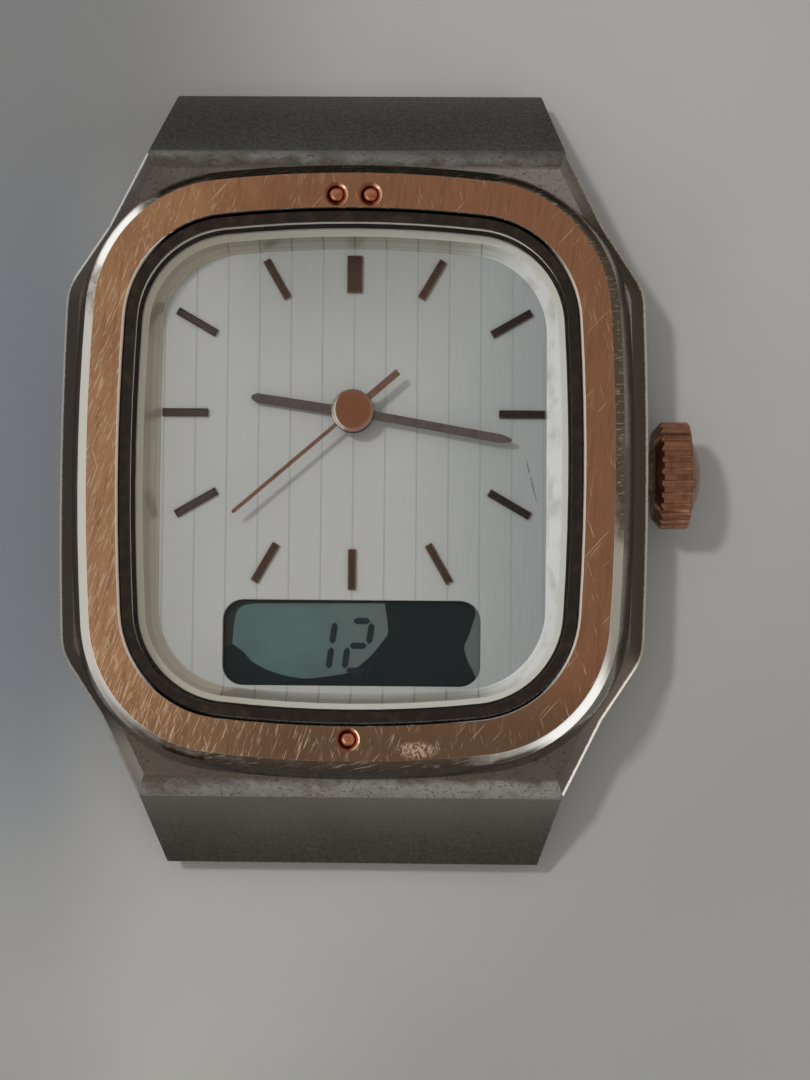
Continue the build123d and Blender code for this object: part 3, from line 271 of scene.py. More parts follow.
def caseGrime(tree, z, blotch, below):
    # grime lies thickest away from the crown, and a little thicker towards twelve o'clock
    v = caseSteel
    x, y, _ = position(tree)
    lean = plus(tree, times(tree, x, v["grimeLeanX"]), times(tree, y, v["grimeLeanY"]))
    level = plus(tree, plus(tree, z, lean), times(tree, minus(tree, blotch, 0.5), 0.75))
    return times(tree, below, spread(tree, level, v["grimeStart"],
                                     v["grimeStart"] + v["grimeWidth"]))


def caseShelfColour(tree, blotch):
    # the flat shelf beside the bezel is cleaner at the top right
    v = caseSteel
    x, y, _ = position(tree)
    cleaner = plus(tree, plus(tree, x, y), times(tree, blotch, 16.0))
    return blendColour(tree, spread(tree, cleaner, 8.0, 32.0), v["grime"], v["shelfClean"])


def caseFlankColour(tree, flank, fine):
    # painted shade on the bevelled flank, a painted highlight on its lower edge, lit and shaded
    # corners
    v = caseSteel
    x, y, z = position(tree)
    corner = times(tree, flank, spread(tree, unsigned(tree, y), *v["cornerY"]))
    cornerLightAndShade = blendColour(tree, spread(tree, times(tree, x, y), -5.0, 5.0),
                               v["cornerShade"], v["corner"])
    crownSide = spread(tree, x, -5.0, 5.0)
    flankColour = blendColour(tree, crownSide, v["flank"], v["flankRight"])
    edgeHighlightColour = blendColour(tree, crownSide, v["edge"], v["edgeHighlightRight"])
    # a painted highlight along the flank's lower edge
    edgeHighlight = spread(tree, plus(tree, z, times(tree, fine, -0.10)),
                  v["edgeHeight"] - 0.02, v["edgeHeight"] - 0.08)
    plain = blendColour(tree, corner, flankColour, cornerLightAndShade)
    return blendColour(tree, edgeHighlight, plain, edgeHighlightColour)


def makeCaseSteel():
    v = caseSteel
    material, tree = startMaterial("caseSteel")
    z = position(tree)[2]
    streaks = noise(tree, **v["streaks"])
    blotch = noise(tree, **v["blotch"])
    fine = noise(tree, **v["fine"])
    slow = noise(tree, **v["slow"])
    upper = spread(tree, z, v["foldHeight"] - 0.015, v["foldHeight"] + 0.015)
    below = spread(tree, z, v["grimeTop"] + 0.1, v["grimeTop"])
    hood = blendColour(tree, spread(tree, blotch, 0.38, 0.66), v["clean"], v["dull"])
    # painted shade: below the fold the steel takes a darker tone, for the dark end facets
    shadedFacet = blendColour(tree, spread(tree, slow, 0.3, 0.7, 0.0, 0.5), v["shadedFacet"], v["dull"])
    colour = blendColour(tree, upper, shadedFacet, hood)
    grime = caseGrime(tree, z, blotch, below)
    colour = blendColour(tree, times(tree, grime, v["grimeAmount"]), colour, v["grime"])
    shelf = times(tree, spread(tree, z, v["shelfHeight"] - 0.12, v["shelfHeight"]), below)
    colour = blendColour(tree, times(tree, shelf, v["grimeAmount"]), colour,
                         caseShelfColour(tree, blotch))
    # a painted highlight along the fold
    foldLine = spread(tree, z, v["foldHeight"] + 0.06, v["foldHeight"] + 0.03)
    colour = blendColour(tree, times(tree, upper, foldLine, 0.6), colour, v["edge"])
    specks = times(tree, spread(tree, fine, *v["speckRange"]), upper)
    colour = blendColour(tree, times(tree, specks, v["speckAmount"]), colour, v["speck"])
    # painted shade on the flank, where it faces sideways
    flank = times(tree, spread(tree, unsigned(tree, facing(tree)[0]), 0.12, 0.25), upper)
    colour = blendColour(tree, flank, colour, caseFlankColour(tree, flank, fine))
    rough = plus(tree, spread(tree, fine, 0.3, 0.7, *v["rough"]),
                 times(tree, grime, v["grimeRough"]))
    relief = plus(tree, streaks, times(tree, fine, 0.8, upper))
    endMaterial(tree, surface(tree, colour=colour, metal=1.0, rough=rough,
                              normal=bump(tree, relief, v["relief"], 0.5)))
    return material


steel = makeCaseSteel()


# bezel: brushed rose gold on its flat top, polished bevels

bezelLook = {
    "gold": (0.355, 0.158, 0.084), "goldWorn": (0.58, 0.305, 0.155),
    "goldDeep": (0.205, 0.120, 0.069), "goldPale": (0.58, 0.36, 0.24),
    "scratch": (0.88, 0.64, 0.44), "innerPale": (0.66, 0.55, 0.45),
    "bevel": (0.80, 0.78, 0.74), "tarnishAndShade": (0.17, 0.135, 0.10), "foot": (0.13, 0.105, 0.085),
    "bevelScratch": (0.55, 0.52, 0.44), "dimple": (0.95, 0.60, 0.43),
    "dimpleShade": (0.26, 0.10, 0.055),
    "wearX": -0.050, "wearY": -0.012,  # how the gold's wear grows along x and y
    "brush": {"size": (0.035, 1.6, 0.5), "turn": -8, "detail": 3, "rough": 0.6},
    "patches": {"size": (2.2, 3.5, 3.0), "detail": 3},
    "broad": {"size": (0.22, 2.4, 0.6), "turn": -6, "detail": 3, "rough": 0.6},
    "strokes": {"size": (0.065, 1.05, 0.5), "turn": -20, "detail": 2.5, "rough": 0.6,
                "twist": 0.5},
    "strokesToo": {"size": (0.055, 1.5, 0.5), "turn": 16, "detail": 2, "centre": (3, 5, 0)},
    "longStrokes": {"size": (0.06, 2.4, 0.5), "turn": -42, "detail": 1.5, "centre": (7, 2, 0)},
    "strokeAmount": 0.72,
    "scuffPlace": (3.1, -12.75, 7.9), "scuffSize": (1.0, 0.42, 1.0),
    "chips": {"size": (0.12, 0.20, 0.3), "detail": 4, "rough": 0.7},
    "cloud": {"size": 0.9, "detail": 4, "rough": 0.65, "centre": (1, 2, 3)},
    "crosses": {"size": (0.7, 0.07, 0.5), "turn": 12, "detail": 3, "rough": 0.6},
    "footHeight": (7.47, 7.41), "dimpleX": (2.4, 2.2), "dimpleInnerY": (11.73, 11.75),
    "dimpleOuterY": (13.2, 13.1), "flatRough": 0.27, "bevelRough": 0.10, "relief": 0.006,
    "softening": 0.02,
    # where the outer bevel keeps a painted white reflection, once round from nine o'clock by way of
    # six
    "glintStops": [(0.0, 1.0), (0.10, 1.0), (0.16, 0.35), (0.30, 0.25), (0.355, 1.0), (0.43, 1.0),
                   (0.47, 0.40), (0.60, 0.20), (0.855, 0.15), (0.868, 1.0), (0.884, 1.0),
                   (0.895, 0.45), (0.912, 0.45), (0.93, 1.0), (1.0, 1.0)],
}


def bezelStrokes(tree, lean):
    # scratches in three directions, more of them where the gold is worn
    v = bezelLook
    strokes = plus(tree, noise(tree, **v["strokes"]), times(tree, lean, 0.17))
    strokesToo = noise(tree, **v["strokesToo"])
    longStrokes = noise(tree, **v["longStrokes"])
    marks = calc(tree, "MAXIMUM", spread(tree, strokesToo, 0.67, 0.75),
                 spread(tree, longStrokes, 0.70, 0.76))
    return calc(tree, "MAXIMUM", spread(tree, strokes, 0.645, 0.735), marks)


def bezelTopColour(tree, brush, lean, marks):
    v = bezelLook
    x, y, _ = position(tree)
    patches = noise(tree, **v["patches"])
    broad = noise(tree, **v["broad"])
    worn = spread(tree, plus(tree, patches, lean), 0.42, 1.05)
    gold = blendColour(tree, worn, v["gold"], v["goldWorn"])
    gold = blendColour(tree, spread(tree, brush, 0.3, 0.75, 0.0, 0.30), gold, v["goldWorn"])
    low = times(tree, spread(tree, y, -8.5, -12.5), spread(tree, x, -8.5, -2.0, 0.45, 0.95))
    gold = blendColour(tree, low, gold, v["goldDeep"])
    gold = blendColour(tree, spread(tree, broad, 0.50, 0.72, 0.0, 0.45), gold, v["goldDeep"])
    gold = blendColour(tree, spread(tree, broad, 0.42, 0.25, 0.0, 0.40), gold, v["goldPale"])
    gold = blendColour(tree, times(tree, marks, v["strokeAmount"]), gold, v["scratch"])
    # a scuffed patch near six o'clock
    away = lengthOf(tree, objectPlace(tree, v["scuffSize"], 0, v["scuffPlace"]))
    chips = noise(tree, **v["chips"])
    scuff = times(tree, spread(tree, away, 1.1, 0.5), spread(tree, chips, 0.46, 0.56))
    return blendColour(tree, times(tree, scuff, 0.8), gold, v["scratch"])


def bezelSideColour(tree):
    # outer bevel: tarnish and painted shade, painted white reflections at the left and two opposite
    # corners
    v = bezelLook
    x, y, z = position(tree)
    cloud = noise(tree, **v["cloud"])
    crosses = noise(tree, **v["crosses"])
    clean = colourStops(tree, around(tree, x, y),
                        [(place, grey(level)) for place, level in v["glintStops"]])
    darkened = spread(tree, minus(tree, plus(tree, 1.0, times(tree, cloud, 0.5)), clean), 0.55, 0.95)
    side = blendColour(tree, darkened, v["bevel"], v["tarnishAndShade"])
    side = blendColour(tree, times(tree, darkened, spread(tree, crosses, 0.57, 0.66)), side,
                       v["bevelScratch"])
    # painted shade on the lower part of the bevel, below the foot height
    return blendColour(tree, times(tree, spread(tree, z, *v["footHeight"]), 0.9), side, v["foot"])


def makeBezelGold():
    v = bezelLook
    material, tree = startMaterial("brushedRoseGold")
    x, y, _ = position(tree)
    across, along, up = facing(tree)
    flat = spread(tree, up, 0.90, 0.96)
    notFlat = minus(tree, 1.0, flat)
    brush = noise(tree, **v["brush"])
    lean = plus(tree, times(tree, y, v["wearY"]), times(tree, x, v["wearX"]))
    marks = bezelStrokes(tree, lean)
    colour = blendColour(tree, flat, bezelSideColour(tree),
                         bezelTopColour(tree, brush, lean, marks))
    # the dimples keep a polished gold, with a painted highlight where they face away from the crown
    # and painted shade elsewhere
    farY = unsigned(tree, y)
    dimple = times(tree, spread(tree, unsigned(tree, x), *v["dimpleX"]),
                   spread(tree, farY, *v["dimpleInnerY"]), spread(tree, farY, *v["dimpleOuterY"]))
    dimpleLightAndShade = blendColour(tree, spread(tree, across, -0.05, -0.40),
                               v["dimpleShade"], v["dimple"])
    colour = blendColour(tree, times(tree, dimple, notFlat), colour, dimpleLightAndShade)
    # the inner bevel is pale at the two sides
    outward = plus(tree, times(tree, x, across), times(tree, y, along))
    inner = times(tree, spread(tree, outward, -1.0, -2.0),
                  spread(tree, unsigned(tree, x), 8.5, 10.2), notFlat)
    colour = blendColour(tree, inner, colour, v["innerPale"])
    polish = blendColour(tree, flat, grey(v["bevelRough"]), grey(v["flatRough"]))
    rough = plus(tree, polish, times(tree, brush, 0.08))
    height = times(tree, minus(tree, brush, times(tree, marks, 1.5)), flat)
    endMaterial(tree, surface(tree, colour=colour, metal=minus(tree, 1.0, inner), rough=rough,
                              normal=bump(tree, height, v["relief"], 0.6)))
    return material


bezelGold = makeBezelGold()


def makePolishedGold(name, colour, dark, rough):
    material, tree = startMaterial(name)
    cloud = noise(tree, 0.5, detail=4, rough=0.6)
    fine = noise(tree, 0.05, detail=2)
    tone = blendColour(tree, spread(tree, cloud, 0.4, 0.75), colour, dark)
    endMaterial(tree, surface(tree, colour=tone, metal=1.0,
                              rough=spread(tree, cloud, 0.3, 0.7, rough, rough + 0.12),
                              normal=bump(tree, fine, 0.002, 0.4)))
    return material


studGold = makePolishedGold("studGold", (0.55, 0.22, 0.12), (0.32, 0.11, 0.06), 0.10)
crownGold = makePolishedGold("crownGold", (0.30, 0.135, 0.078), (0.17, 0.075, 0.045), 0.18)


# rubber of the gasket and of the contact strip

def makeRubber(name, colour, streak):
    material, tree = startMaterial(name)
    cloud = noise(tree, 0.6, detail=4)
    fine = noise(tree, 0.06, detail=2)
    tone = blendColour(tree, spread(tree, cloud, 0.45, 0.8), colour, streak)
    endMaterial(tree, surface(tree, colour=tone, rough=spread(tree, cloud, 0.3, 0.7, 0.35, 0.55),
                              shine=0.12, normal=bump(tree, fine, 0.003, 0.5)))
    return material


gasketBlack = makeRubber("gasketBlack", (0.016, 0.011, 0.008), (0.034, 0.022, 0.014))
stripRubber = makeRubber("stripRubber", (0.65, 0.62, 0.58), (0.10, 0.10, 0.10))


# the dial's upright stripes, which the polished ring also carries as a painted reflection

stripePitch = 1.465


def stripes(tree, x, outer, inner):
    half = stripePitch / 2
    wrapped = addNode(tree, "ShaderNodeMath", {0: x, 1: half, 2: -half}, operation="WRAP")
    return spread(tree, unsigned(tree, wrapped.outputs[0]), outer, inner)


# dial ring: polished slope with a paler lip on top

ringLook = {
    "warm": (0.62, 0.56, 0.45), "plain": (0.50, 0.49, 0.455), "white": (0.94, 0.94, 0.92),
    "cloud": (0.50, 0.46, 0.38), "line": (0.30, 0.27, 0.21), "stripe": (0.22, 0.21, 0.19),
    "lip": (0.74, 0.72, 0.65), "lipWarm": (0.60, 0.56, 0.45),
    "shadeSideX": (-7.0, -3.0), "litSideX": (4.0, 8.2), "plainX": (8.2, 5.5),
    "foot": 5.05, "step": 5.90, "upperShade": 0.50, "waveCount": 17.0, "waveAmount": 0.24,
    "stripeReflectionY": (9.8, 10.2), "stripeReflectionAmount": 0.6, "metalLeft": 0.50, "metalRight": 0.12,
    "rough": (0.12, 0.22),
}


def makeRingPolish():
    v = ringLook
    material, tree = startMaterial("ringPolish")
    x, y, z = position(tree)
    cloud = noise(tree, (1.2, 1.2, 0.8), detail=4)
    fine = noise(tree, 0.1, detail=3)
    # painted shade at the left and painted light at the right: warm and dim at the left, white at
    # the right
    tone = blendColour(tree, spread(tree, x, *v["shadeSideX"]), v["warm"], v["plain"])
    tone = blendColour(tree, spread(tree, x, *v["litSideX"]), tone, v["white"])
    tone = blendColour(tree, spread(tree, cloud, 0.45, 0.8, 0.0, 0.6), tone, v["cloud"])
    # painted shade darkens the slope upwards, and the slope carries fine dark bands, except at the
    # right
    plain = spread(tree, x, *v["plainX"])
    rise = spread(tree, z, v["foot"], v["step"] + 0.05, 0.0, v["upperShade"])
    tone = blendColour(tree, times(tree, rise, plain), tone, v["line"])
    waves = calc(tree, "SINE", times(tree, z, v["waveCount"]))
    waves = spread(tree, waves, 0.0, 1.0, 0.0, v["waveAmount"])
    tone = blendColour(tree, times(tree, waves, plain), tone, v["line"])
    # a painted reflection of the dial's stripes on the polish above and below
    stripeReflection = times(tree, stripes(tree, x, 0.06, 0.03),
                     spread(tree, unsigned(tree, y), *v["stripeReflectionY"]))
    tone = blendColour(tree, times(tree, stripeReflection, v["stripeReflectionAmount"]), tone, v["stripe"])
    lip = spread(tree, z, v["step"] - 0.01, v["step"] + 0.03)
    lipColour = blendColour(tree, spread(tree, x, -8.5, 0.0), v["lipWarm"], v["lip"])
    tone = blendColour(tree, lip, tone, lipColour)
    metal = times(tree, spread(tree, x, -8.0, 8.0, v["metalLeft"], v["metalRight"]),
                  minus(tree, 1.0, lip))
    endMaterial(tree, surface(tree, colour=tone, metal=metal,
                              rough=spread(tree, fine, 0.3, 0.7, *v["rough"])))
    return material


ringPolish = makeRingPolish()


# crystal: clear, a little dusty, with one dark scratch near three o'clock

glassLook = {
    "tint": (0.985, 0.985, 0.98), "mirror": 1.17, "dust": (0.0, 0.12),
    "scratchCentre": (8.145, -0.645, 7.75), "scratchTurn": 14.2,
    "scratchSize": (0.032, 1.3, 0.4), "scratchDark": (0.05, 0.055, 0.06), "scratchAmount": 0.8,
}


def makeCrystalGlass():
    v = glassLook
    material, tree = startMaterial("crystalGlass")
    away = lengthOf(tree, objectPlace(tree, v["scratchSize"], v["scratchTurn"],
                                      v["scratchCentre"]))
    broken = noise(tree, (0.1, 0.25, 0.2), detail=2)
    mark = times(tree, spread(tree, away, 1.0, 0.6), spread(tree, broken, 0.3, 0.5))
    dust = noise(tree, (0.12, 0.12, 0.2), detail=3, rough=0.7)
    body = clearSheet(tree, v["tint"], v["mirror"], spread(tree, dust, 0.4, 0.8, *v["dust"]))
    dark = addNode(tree, "ShaderNodeBsdfDiffuse", {"Color": rgb(v["scratchDark"])})
    both = addNode(tree, "ShaderNodeMixShader", {
        0: times(tree, mark, v["scratchAmount"]), 1: body, 2: dark.outputs[0]})
    endMaterial(tree, both.outputs[0])
    return material


crystalGlass = makeCrystalGlass()


# dial: satin silver with fine upright stripes

dialLook = {
    "base": (0.430, 0.428, 0.412), "cool": (0.285, 0.305, 0.305), "grain": (0.49, 0.49, 0.47),
    "upper": (0.31, 0.31, 0.295), "stripe": (0.22, 0.225, 0.22), "stripeHalf": 0.035,
    "coolX": (1.0, 9.0), "upperY": (3.5, 10.0), "upperX": (7.5, 3.0),
    "brush": {"size": (0.05, 2.5, 1.0), "detail": 3, "rough": 0.6},
    "metal": 0.15, "rough": (0.40, 0.50), "relief": 0.006, "softening": 0.06,
}


def makeDialSilver():
    v = dialLook
    material, tree = startMaterial("dialSilver")
    x, y, _ = position(tree)
    line = stripes(tree, x, v["stripeHalf"] * 1.6, v["stripeHalf"] * 0.6)
    brush = noise(tree, **v["brush"])
    tone = blendColour(tree, spread(tree, x, *v["coolX"]), v["base"], v["cool"])
    # painted shade across the top middle of the dial
    shaded = times(tree, spread(tree, y, *v["upperY"]),
                   spread(tree, unsigned(tree, x), *v["upperX"]))
    tone = blendColour(tree, times(tree, shaded, 0.9), tone, v["upper"])
    tone = blendColour(tree, spread(tree, brush, 0.3, 0.75, 0.0, 0.22), tone, v["grain"])
    tone = blendColour(tree, times(tree, line, 0.42), tone, v["stripe"])
    height = minus(tree, times(tree, brush, 0.3), line)
    endMaterial(tree, surface(tree, colour=tone, metal=v["metal"],
                              rough=spread(tree, brush, 0.3, 0.7, *v["rough"]),
                              normal=bump(tree, height, v["relief"], 0.5)))
    return material


dialSilver = makeDialSilver()


# markers and hands: dark brown faces between copper edges

bladeLook = {
    "face": (0.115, 0.068, 0.050), "edge": (0.36, 0.20, 0.14), "stain": (0.06, 0.05, 0.045),
    "handFace": (0.185, 0.150, 0.138), "handEdge": (0.07, 0.05, 0.042),
    "secondFace": (0.31, 0.168, 0.122), "secondEdge": (0.45, 0.28, 0.21),
    "dark": (0.026, 0.026, 0.025), "grey": (0.125, 0.100, 0.092),
    "darkX": (3.0, 7.5), "greyX": (-3.0, -6.5), "sideShade": 0.8,
    "boss": (0.34, 0.135, 0.070), "bossSide": (0.62, 0.36, 0.27), "highlightCrescent": (0.98, 0.86, 0.78),
    "pivot": (0.0, 2.64, 0.0), "bossRadius": 0.95, "bossPolish": 0.16,
    "rough": (0.22, 0.38), "relief": 0.002,
}


def bossTone(tree, flat, boss, tone):
    # polished copper, with a painted highlight crescent on its side towards nine o'clock
    v = bladeLook
    tone = blendColour(tree, boss, tone, blendColour(tree, flat, v["bossSide"], v["boss"]))
    across, along, _ = facing(tree)
    lean = plus(tree, times(tree, across, -0.98), times(tree, along, -0.17))
    highlightCrescent = times(tree, spread(tree, lean, 0.20, 0.26), spread(tree, lean, 0.50, 0.42))
    return blendColour(tree, times(tree, highlightCrescent, boss), tone, v["highlightCrescent"])


def makeBladeBrown(name, face, edge, sideShade=0.0, polishedBoss=False):
    v = bladeLook
    material, tree = startMaterial(name)
    x = position(tree)[0]
    flat = spread(tree, facing(tree)[2], 0.86, 0.97)
    fine = noise(tree, 0.05, detail=3, rough=0.6)
    cloud = noise(tree, 0.6, detail=3)
    tone = blendColour(tree, flat, edge, face)
    tone = blendColour(tree, spread(tree, cloud, 0.4, 0.8, 0.0, 0.4), tone, v["stain"])
    # painted shade and light by side: darker at the right, greyer at the left
    tone = blendColour(tree, spread(tree, x, *v["darkX"], 0.0, sideShade), tone, v["dark"])
    tone = blendColour(tree, spread(tree, x, *v["greyX"], 0.0, sideShade), tone, v["grey"])
    rough = spread(tree, fine, 0.3, 0.7, *v["rough"])
    if polishedBoss:
        away = lengthOf(tree, objectPlace(tree, (1, 1, 1000), centre=v["pivot"]))
        boss = spread(tree, away, v["bossRadius"] + 0.02, v["bossRadius"] - 0.02)
        tone = bossTone(tree, flat, boss, tone)
        rough = minus(tree, rough, times(tree, boss, v["bossPolish"]))
    endMaterial(tree, surface(tree, colour=tone, metal=1.0, rough=rough,
                              normal=bump(tree, fine, v["relief"], 0.4)))
    return material


markerBrown = makeBladeBrown("markerBrown", bladeLook["face"], bladeLook["edge"],
                             bladeLook["sideShade"])
handBrown = makeBladeBrown("handBrown", bladeLook["handFace"], bladeLook["handEdge"])
secondBrown = makeBladeBrown("secondBrown", bladeLook["secondFace"], bladeLook["secondEdge"],
                             polishedBoss=True)


# digital display

displayLook = {
    "film": (0.082, 0.136, 0.126), "filmCool": (0.068, 0.112, 0.108),
    "filmGrey": (0.100, 0.116, 0.110), "greyX": (-2.5, 1.5), "dark": (0.010, 0.014, 0.016),
    "darkCloud": (0.018, 0.024, 0.026), "shine": 0.15,
    "glassTint": (0.985, 0.99, 0.99), "glassMirror": 1.04, "glassRough": (0.05, 0.10),
}


def makeDisplayFilm():
    v = displayLook
    material, tree = startMaterial("displayFilm")
    cloud = noise(tree, (2.5, 1.5, 1.0), detail=3)
    fine = noise(tree, 0.08, detail=2)
    tone = blendColour(tree, spread(tree, cloud, 0.35, 0.7), v["film"], v["filmCool"])
    right = spread(tree, position(tree)[0], *v["greyX"], 0.0, 0.8)
    tone = blendColour(tree, right, tone, v["filmGrey"])
    endMaterial(tree, surface(tree, colour=tone, shine=v["shine"],
                              rough=spread(tree, fine, 0.3, 0.7, 0.4, 0.5)))
    return material


def makeDisplayGlass():
    v = displayLook
    material, tree = startMaterial("displayGlass")
    fine = noise(tree, 0.15, detail=2)
    rough = spread(tree, fine, 0.3, 0.7, *v["glassRough"])
    endMaterial(tree, clearSheet(tree, v["glassTint"], v["glassMirror"], rough))
    return material


displayFilm = makeDisplayFilm()
displayGlass = makeDisplayGlass()


# plain finishes: a cloudy colour, with fine relief

def makeMatte(name, colour, second, size=0.4, rough=0.5, depth=0.004, metal=0.0, shine=0.5):
    material, tree = startMaterial(name)
    cloud = noise(tree, size, detail=4, rough=0.6)
    fine = noise(tree, size / 8, detail=2)
    tone = blendColour(tree, spread(tree, cloud, 0.35, 0.75), colour, second)
    endMaterial(tree, surface(tree, colour=tone, metal=metal, shine=shine,
                              rough=spread(tree, fine, 0.3, 0.7, rough - 0.06, rough + 0.06),
                              normal=bump(tree, fine, depth, 0.5)))
    return material


displayDark = makeMatte("displayDark", displayLook["dark"], displayLook["darkCloud"], rough=0.35,
                        shine=displayLook["shine"])
framePlastic = makeMatte("framePlastic", (0.020, 0.026, 0.028), (0.030, 0.034, 0.034), rough=0.4)
holderPlastic = makeMatte("holderPlastic", (0.80, 0.79, 0.75), (0.70, 0.68, 0.63), rough=0.45)
plateMetal = makeMatte("plateMetal", (0.72, 0.60, 0.38), (0.62, 0.52, 0.34), 0.3, 0.32, 0.002, 1.0)
wheelMetal = makeMatte("wheelMetal", (0.78, 0.62, 0.32), (0.66, 0.50, 0.26), 0.2, 0.28, 0.001, 1.0)
# painted shade: the crown tube is dark like the shaded gap round the crown
shadedTubeSteel = makeMatte("shadedTubeSteel", (0.07, 0.055, 0.045), (0.11, 0.09, 0.075), 0.25, 0.4, 0.002, 1.0)
smallSteel = makeMatte("smallSteel", (0.60, 0.60, 0.59), (0.48, 0.47, 0.45), 0.25, 0.26, 0.001, 1.0)
copperWire = makeMatte("copperWire", (0.62, 0.28, 0.14), (0.45, 0.18, 0.09), 0.12, 0.35, 0.01, 1.0)
boardGreen = makeMatte("boardGreen", (0.05, 0.22, 0.12), (0.03, 0.15, 0.08), 0.8, 0.35)
chipBlack = makeMatte("chipBlack", (0.03, 0.03, 0.033), (0.045, 0.045, 0.05), 0.2, 0.55)
cellSteel = makeMatte("cellSteel", (0.74, 0.74, 0.73), (0.62, 0.62, 0.60), 1.5, 0.18, 0.001, 1.0)
clearFilm = makeMatte("clearFilm", (0.75, 0.62, 0.30), (0.66, 0.52, 0.22), 1.0, 0.3)
jewelRed = makeMatte("jewelRed", (0.60, 0.03, 0.10), (0.45, 0.02, 0.07), 0.3, 0.08)


# case back: brushed, with some wear marks

backLook = {
    "clean": (0.50, 0.49, 0.465), "dull": (0.36, 0.35, 0.32), "mark": (0.72, 0.71, 0.68),
    "rough": (0.24, 0.36), "relief": 0.004,
}


def makeBackSteel():
    v = backLook
    material, tree = startMaterial("backSteel")
    streaks = noise(tree, (0.05, 5.0, 1.0), detail=3, rough=0.6)
    cloud = noise(tree, (2.5, 2.5, 1.5), detail=4)
    marks = noise(tree, (0.04, 0.9, 0.5), turn=35, detail=2)
    tone = blendColour(tree, spread(tree, cloud, 0.35, 0.75), v["clean"], v["dull"])
    tone = blendColour(tree, spread(tree, marks, 0.68, 0.74, 0.0, 0.6), tone, v["mark"])
    endMaterial(tree, surface(tree, colour=tone, metal=1.0,
                              rough=spread(tree, streaks, 0.3, 0.7, *v["rough"]),
                              normal=bump(tree, streaks, v["relief"], 0.5)))
    return material


backSteel = makeBackSteel()
print("stage: materials made")

dress(studGold, "bezel_studs")
dress(crystalGlass, "crystal")
dress(gasketBlack, "crystal_gasket", "back_gasket", "crown_gasket")
dress(ringPolish, "dial_ring")
dress(shadedTubeSteel, "crown_tube")
dress(backSteel, "case_back")
dress(displayFilm, "lcd_reflector", "lcd_polarizer")  # the front film shows the display's colour
dress(displayGlass, "lcd_rear_glass", "lcd_front_glass")
dress(displayDark, "lcd_segments")
dress(framePlastic, "lcd_frame")
dress(stripRubber, "zebra_strip")
dress(holderPlastic, "movement_holder", "trimmer")
dress(plateMetal, "main_plate", "train_bridge")
dress(wheelMetal, "hour_wheel", "minute_wheel", "centre_wheel", "third_wheel", "fourth_wheel",
      "fifth_wheel")
dress(smallSteel, "setting_wheel", "rotor", "stator", "coil_core", "bridge_screws",
      "board_screws", "quartz_can", "battery_clamp", "clamp_screw", "setting_lever", "yoke",
      "clutch_wheel", "stem")
dress(copperWire, "coil_winding")
dress(boardGreen, "circuit_board")
dress(chipBlack, "chip")
dress(cellSteel, "battery")
dress(clearFilm, "battery_insulator")
dress(jewelRed, "pivot_jewels")

softenedCopy("caseBody", "case_middle", "case", steel, caseSteel["softening"])
softenedCopy("bezelRing", "bezel", "case", bezelGold, bezelLook["softening"])
crownKnob = softenedCopy("crownKnob", "crown", "winder", crownGold, 0.04)
for item in (crownKnob, nodes["crown_gasket"], nodes["crown_tube"], nodes["stem"]):
    item.visible_glossy = False  # keeps the crown's mirror image off the case's flank
softenedCopy("dialPlate", "dial", "case", dialSilver, dialLook["softening"])
softenedCopy("hourBatons", "hour_markers", "case", markerBrown, 0.012, 1)
softenedCopy("hourPointer", "hour_hand", "hour", handBrown, 0.035)
softenedCopy("minutePointer", "minute_hand", "minute", handBrown, 0.035)
softenedCopy("secondPointer", "second_hand", "second", secondBrown, 0.03)
print("stage: softened pieces made")


# the polished dome on the second hand's boss

bossCapLook = {"radius": 0.90, "height": 0.135, "seat": 6.595, "segments": 64}


def makeBossCap():
    v = bossCapLook
    bm = bmesh.new()
    bmesh.ops.create_uvsphere(bm, u_segments=v["segments"], v_segments=v["segments"] // 2,
                              radius=mm)
    bmesh.ops.scale(bm, vec=(v["radius"], v["radius"], v["height"]), verts=bm.verts)
    pivot = bladeLook["pivot"]
    bmesh.ops.translate(bm, vec=(pivot[0] * mm, pivot[1] * mm, v["seat"] * mm), verts=bm.verts)
    piece = newPiece("bossCap", bm, secondBrown)
    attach(piece, "second")


makeBossCap()
print("stage: boss dome made")


# what the display shows: a dark stain and its digits, and a painted shadow along the window's
# edges, on the front film

displayPicture = {
    "stainBottom": 4.532, "windowShadowBottom": 4.5435, "digitsBottom": 4.545, "thickness": 0.010,
    "softening": 0.16, "shine": 0.10,
    "stain": (0.0075, 0.012, 0.0125), "stainCloud": (0.010, 0.015, 0.016),
    "stainOutline": [
        (-6.34, -7.87), (-5.78, -7.90), (-5.42, -8.10), (-4.98, -8.41), (-4.65, -8.83),
        (-3.91, -9.23), (-3.03, -9.50), (-2.15, -9.63), (-0.99, -9.49), (-0.21, -9.36),
        (0.30, -9.06), (0.94, -8.50), (1.70, -7.52), (1.62, -6.78), (1.52, -6.23), (1.56, -5.62),
        (5.45, -5.62), (5.73, -6.56), (5.39, -7.63), (5.17, -8.09), (5.33, -8.69),
        (5.61, -9.20), (5.94, -10.02), (-6.30, -10.10)],
    # a painted shadow along the window's left and upper edges, a dark sheet where the edges cast
    # shade
    "windowShadow": (0.020, 0.023, 0.021), "windowShadowCloud": (0.030, 0.028, 0.024),
    "windowShadowOutline": [
        (-6.60, -8.40), (-5.52, -8.05), (-5.47, -7.10), (-5.40, -6.66), (-5.22, -6.36),
        (-4.92, -6.20), (-4.20, -6.15), (1.80, -6.11), (1.80, -5.40), (-6.60, -5.40)],
}


def addToDisplay(name, bm, material):
    piece = newPiece(name, bm, material)
    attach(piece, "case")


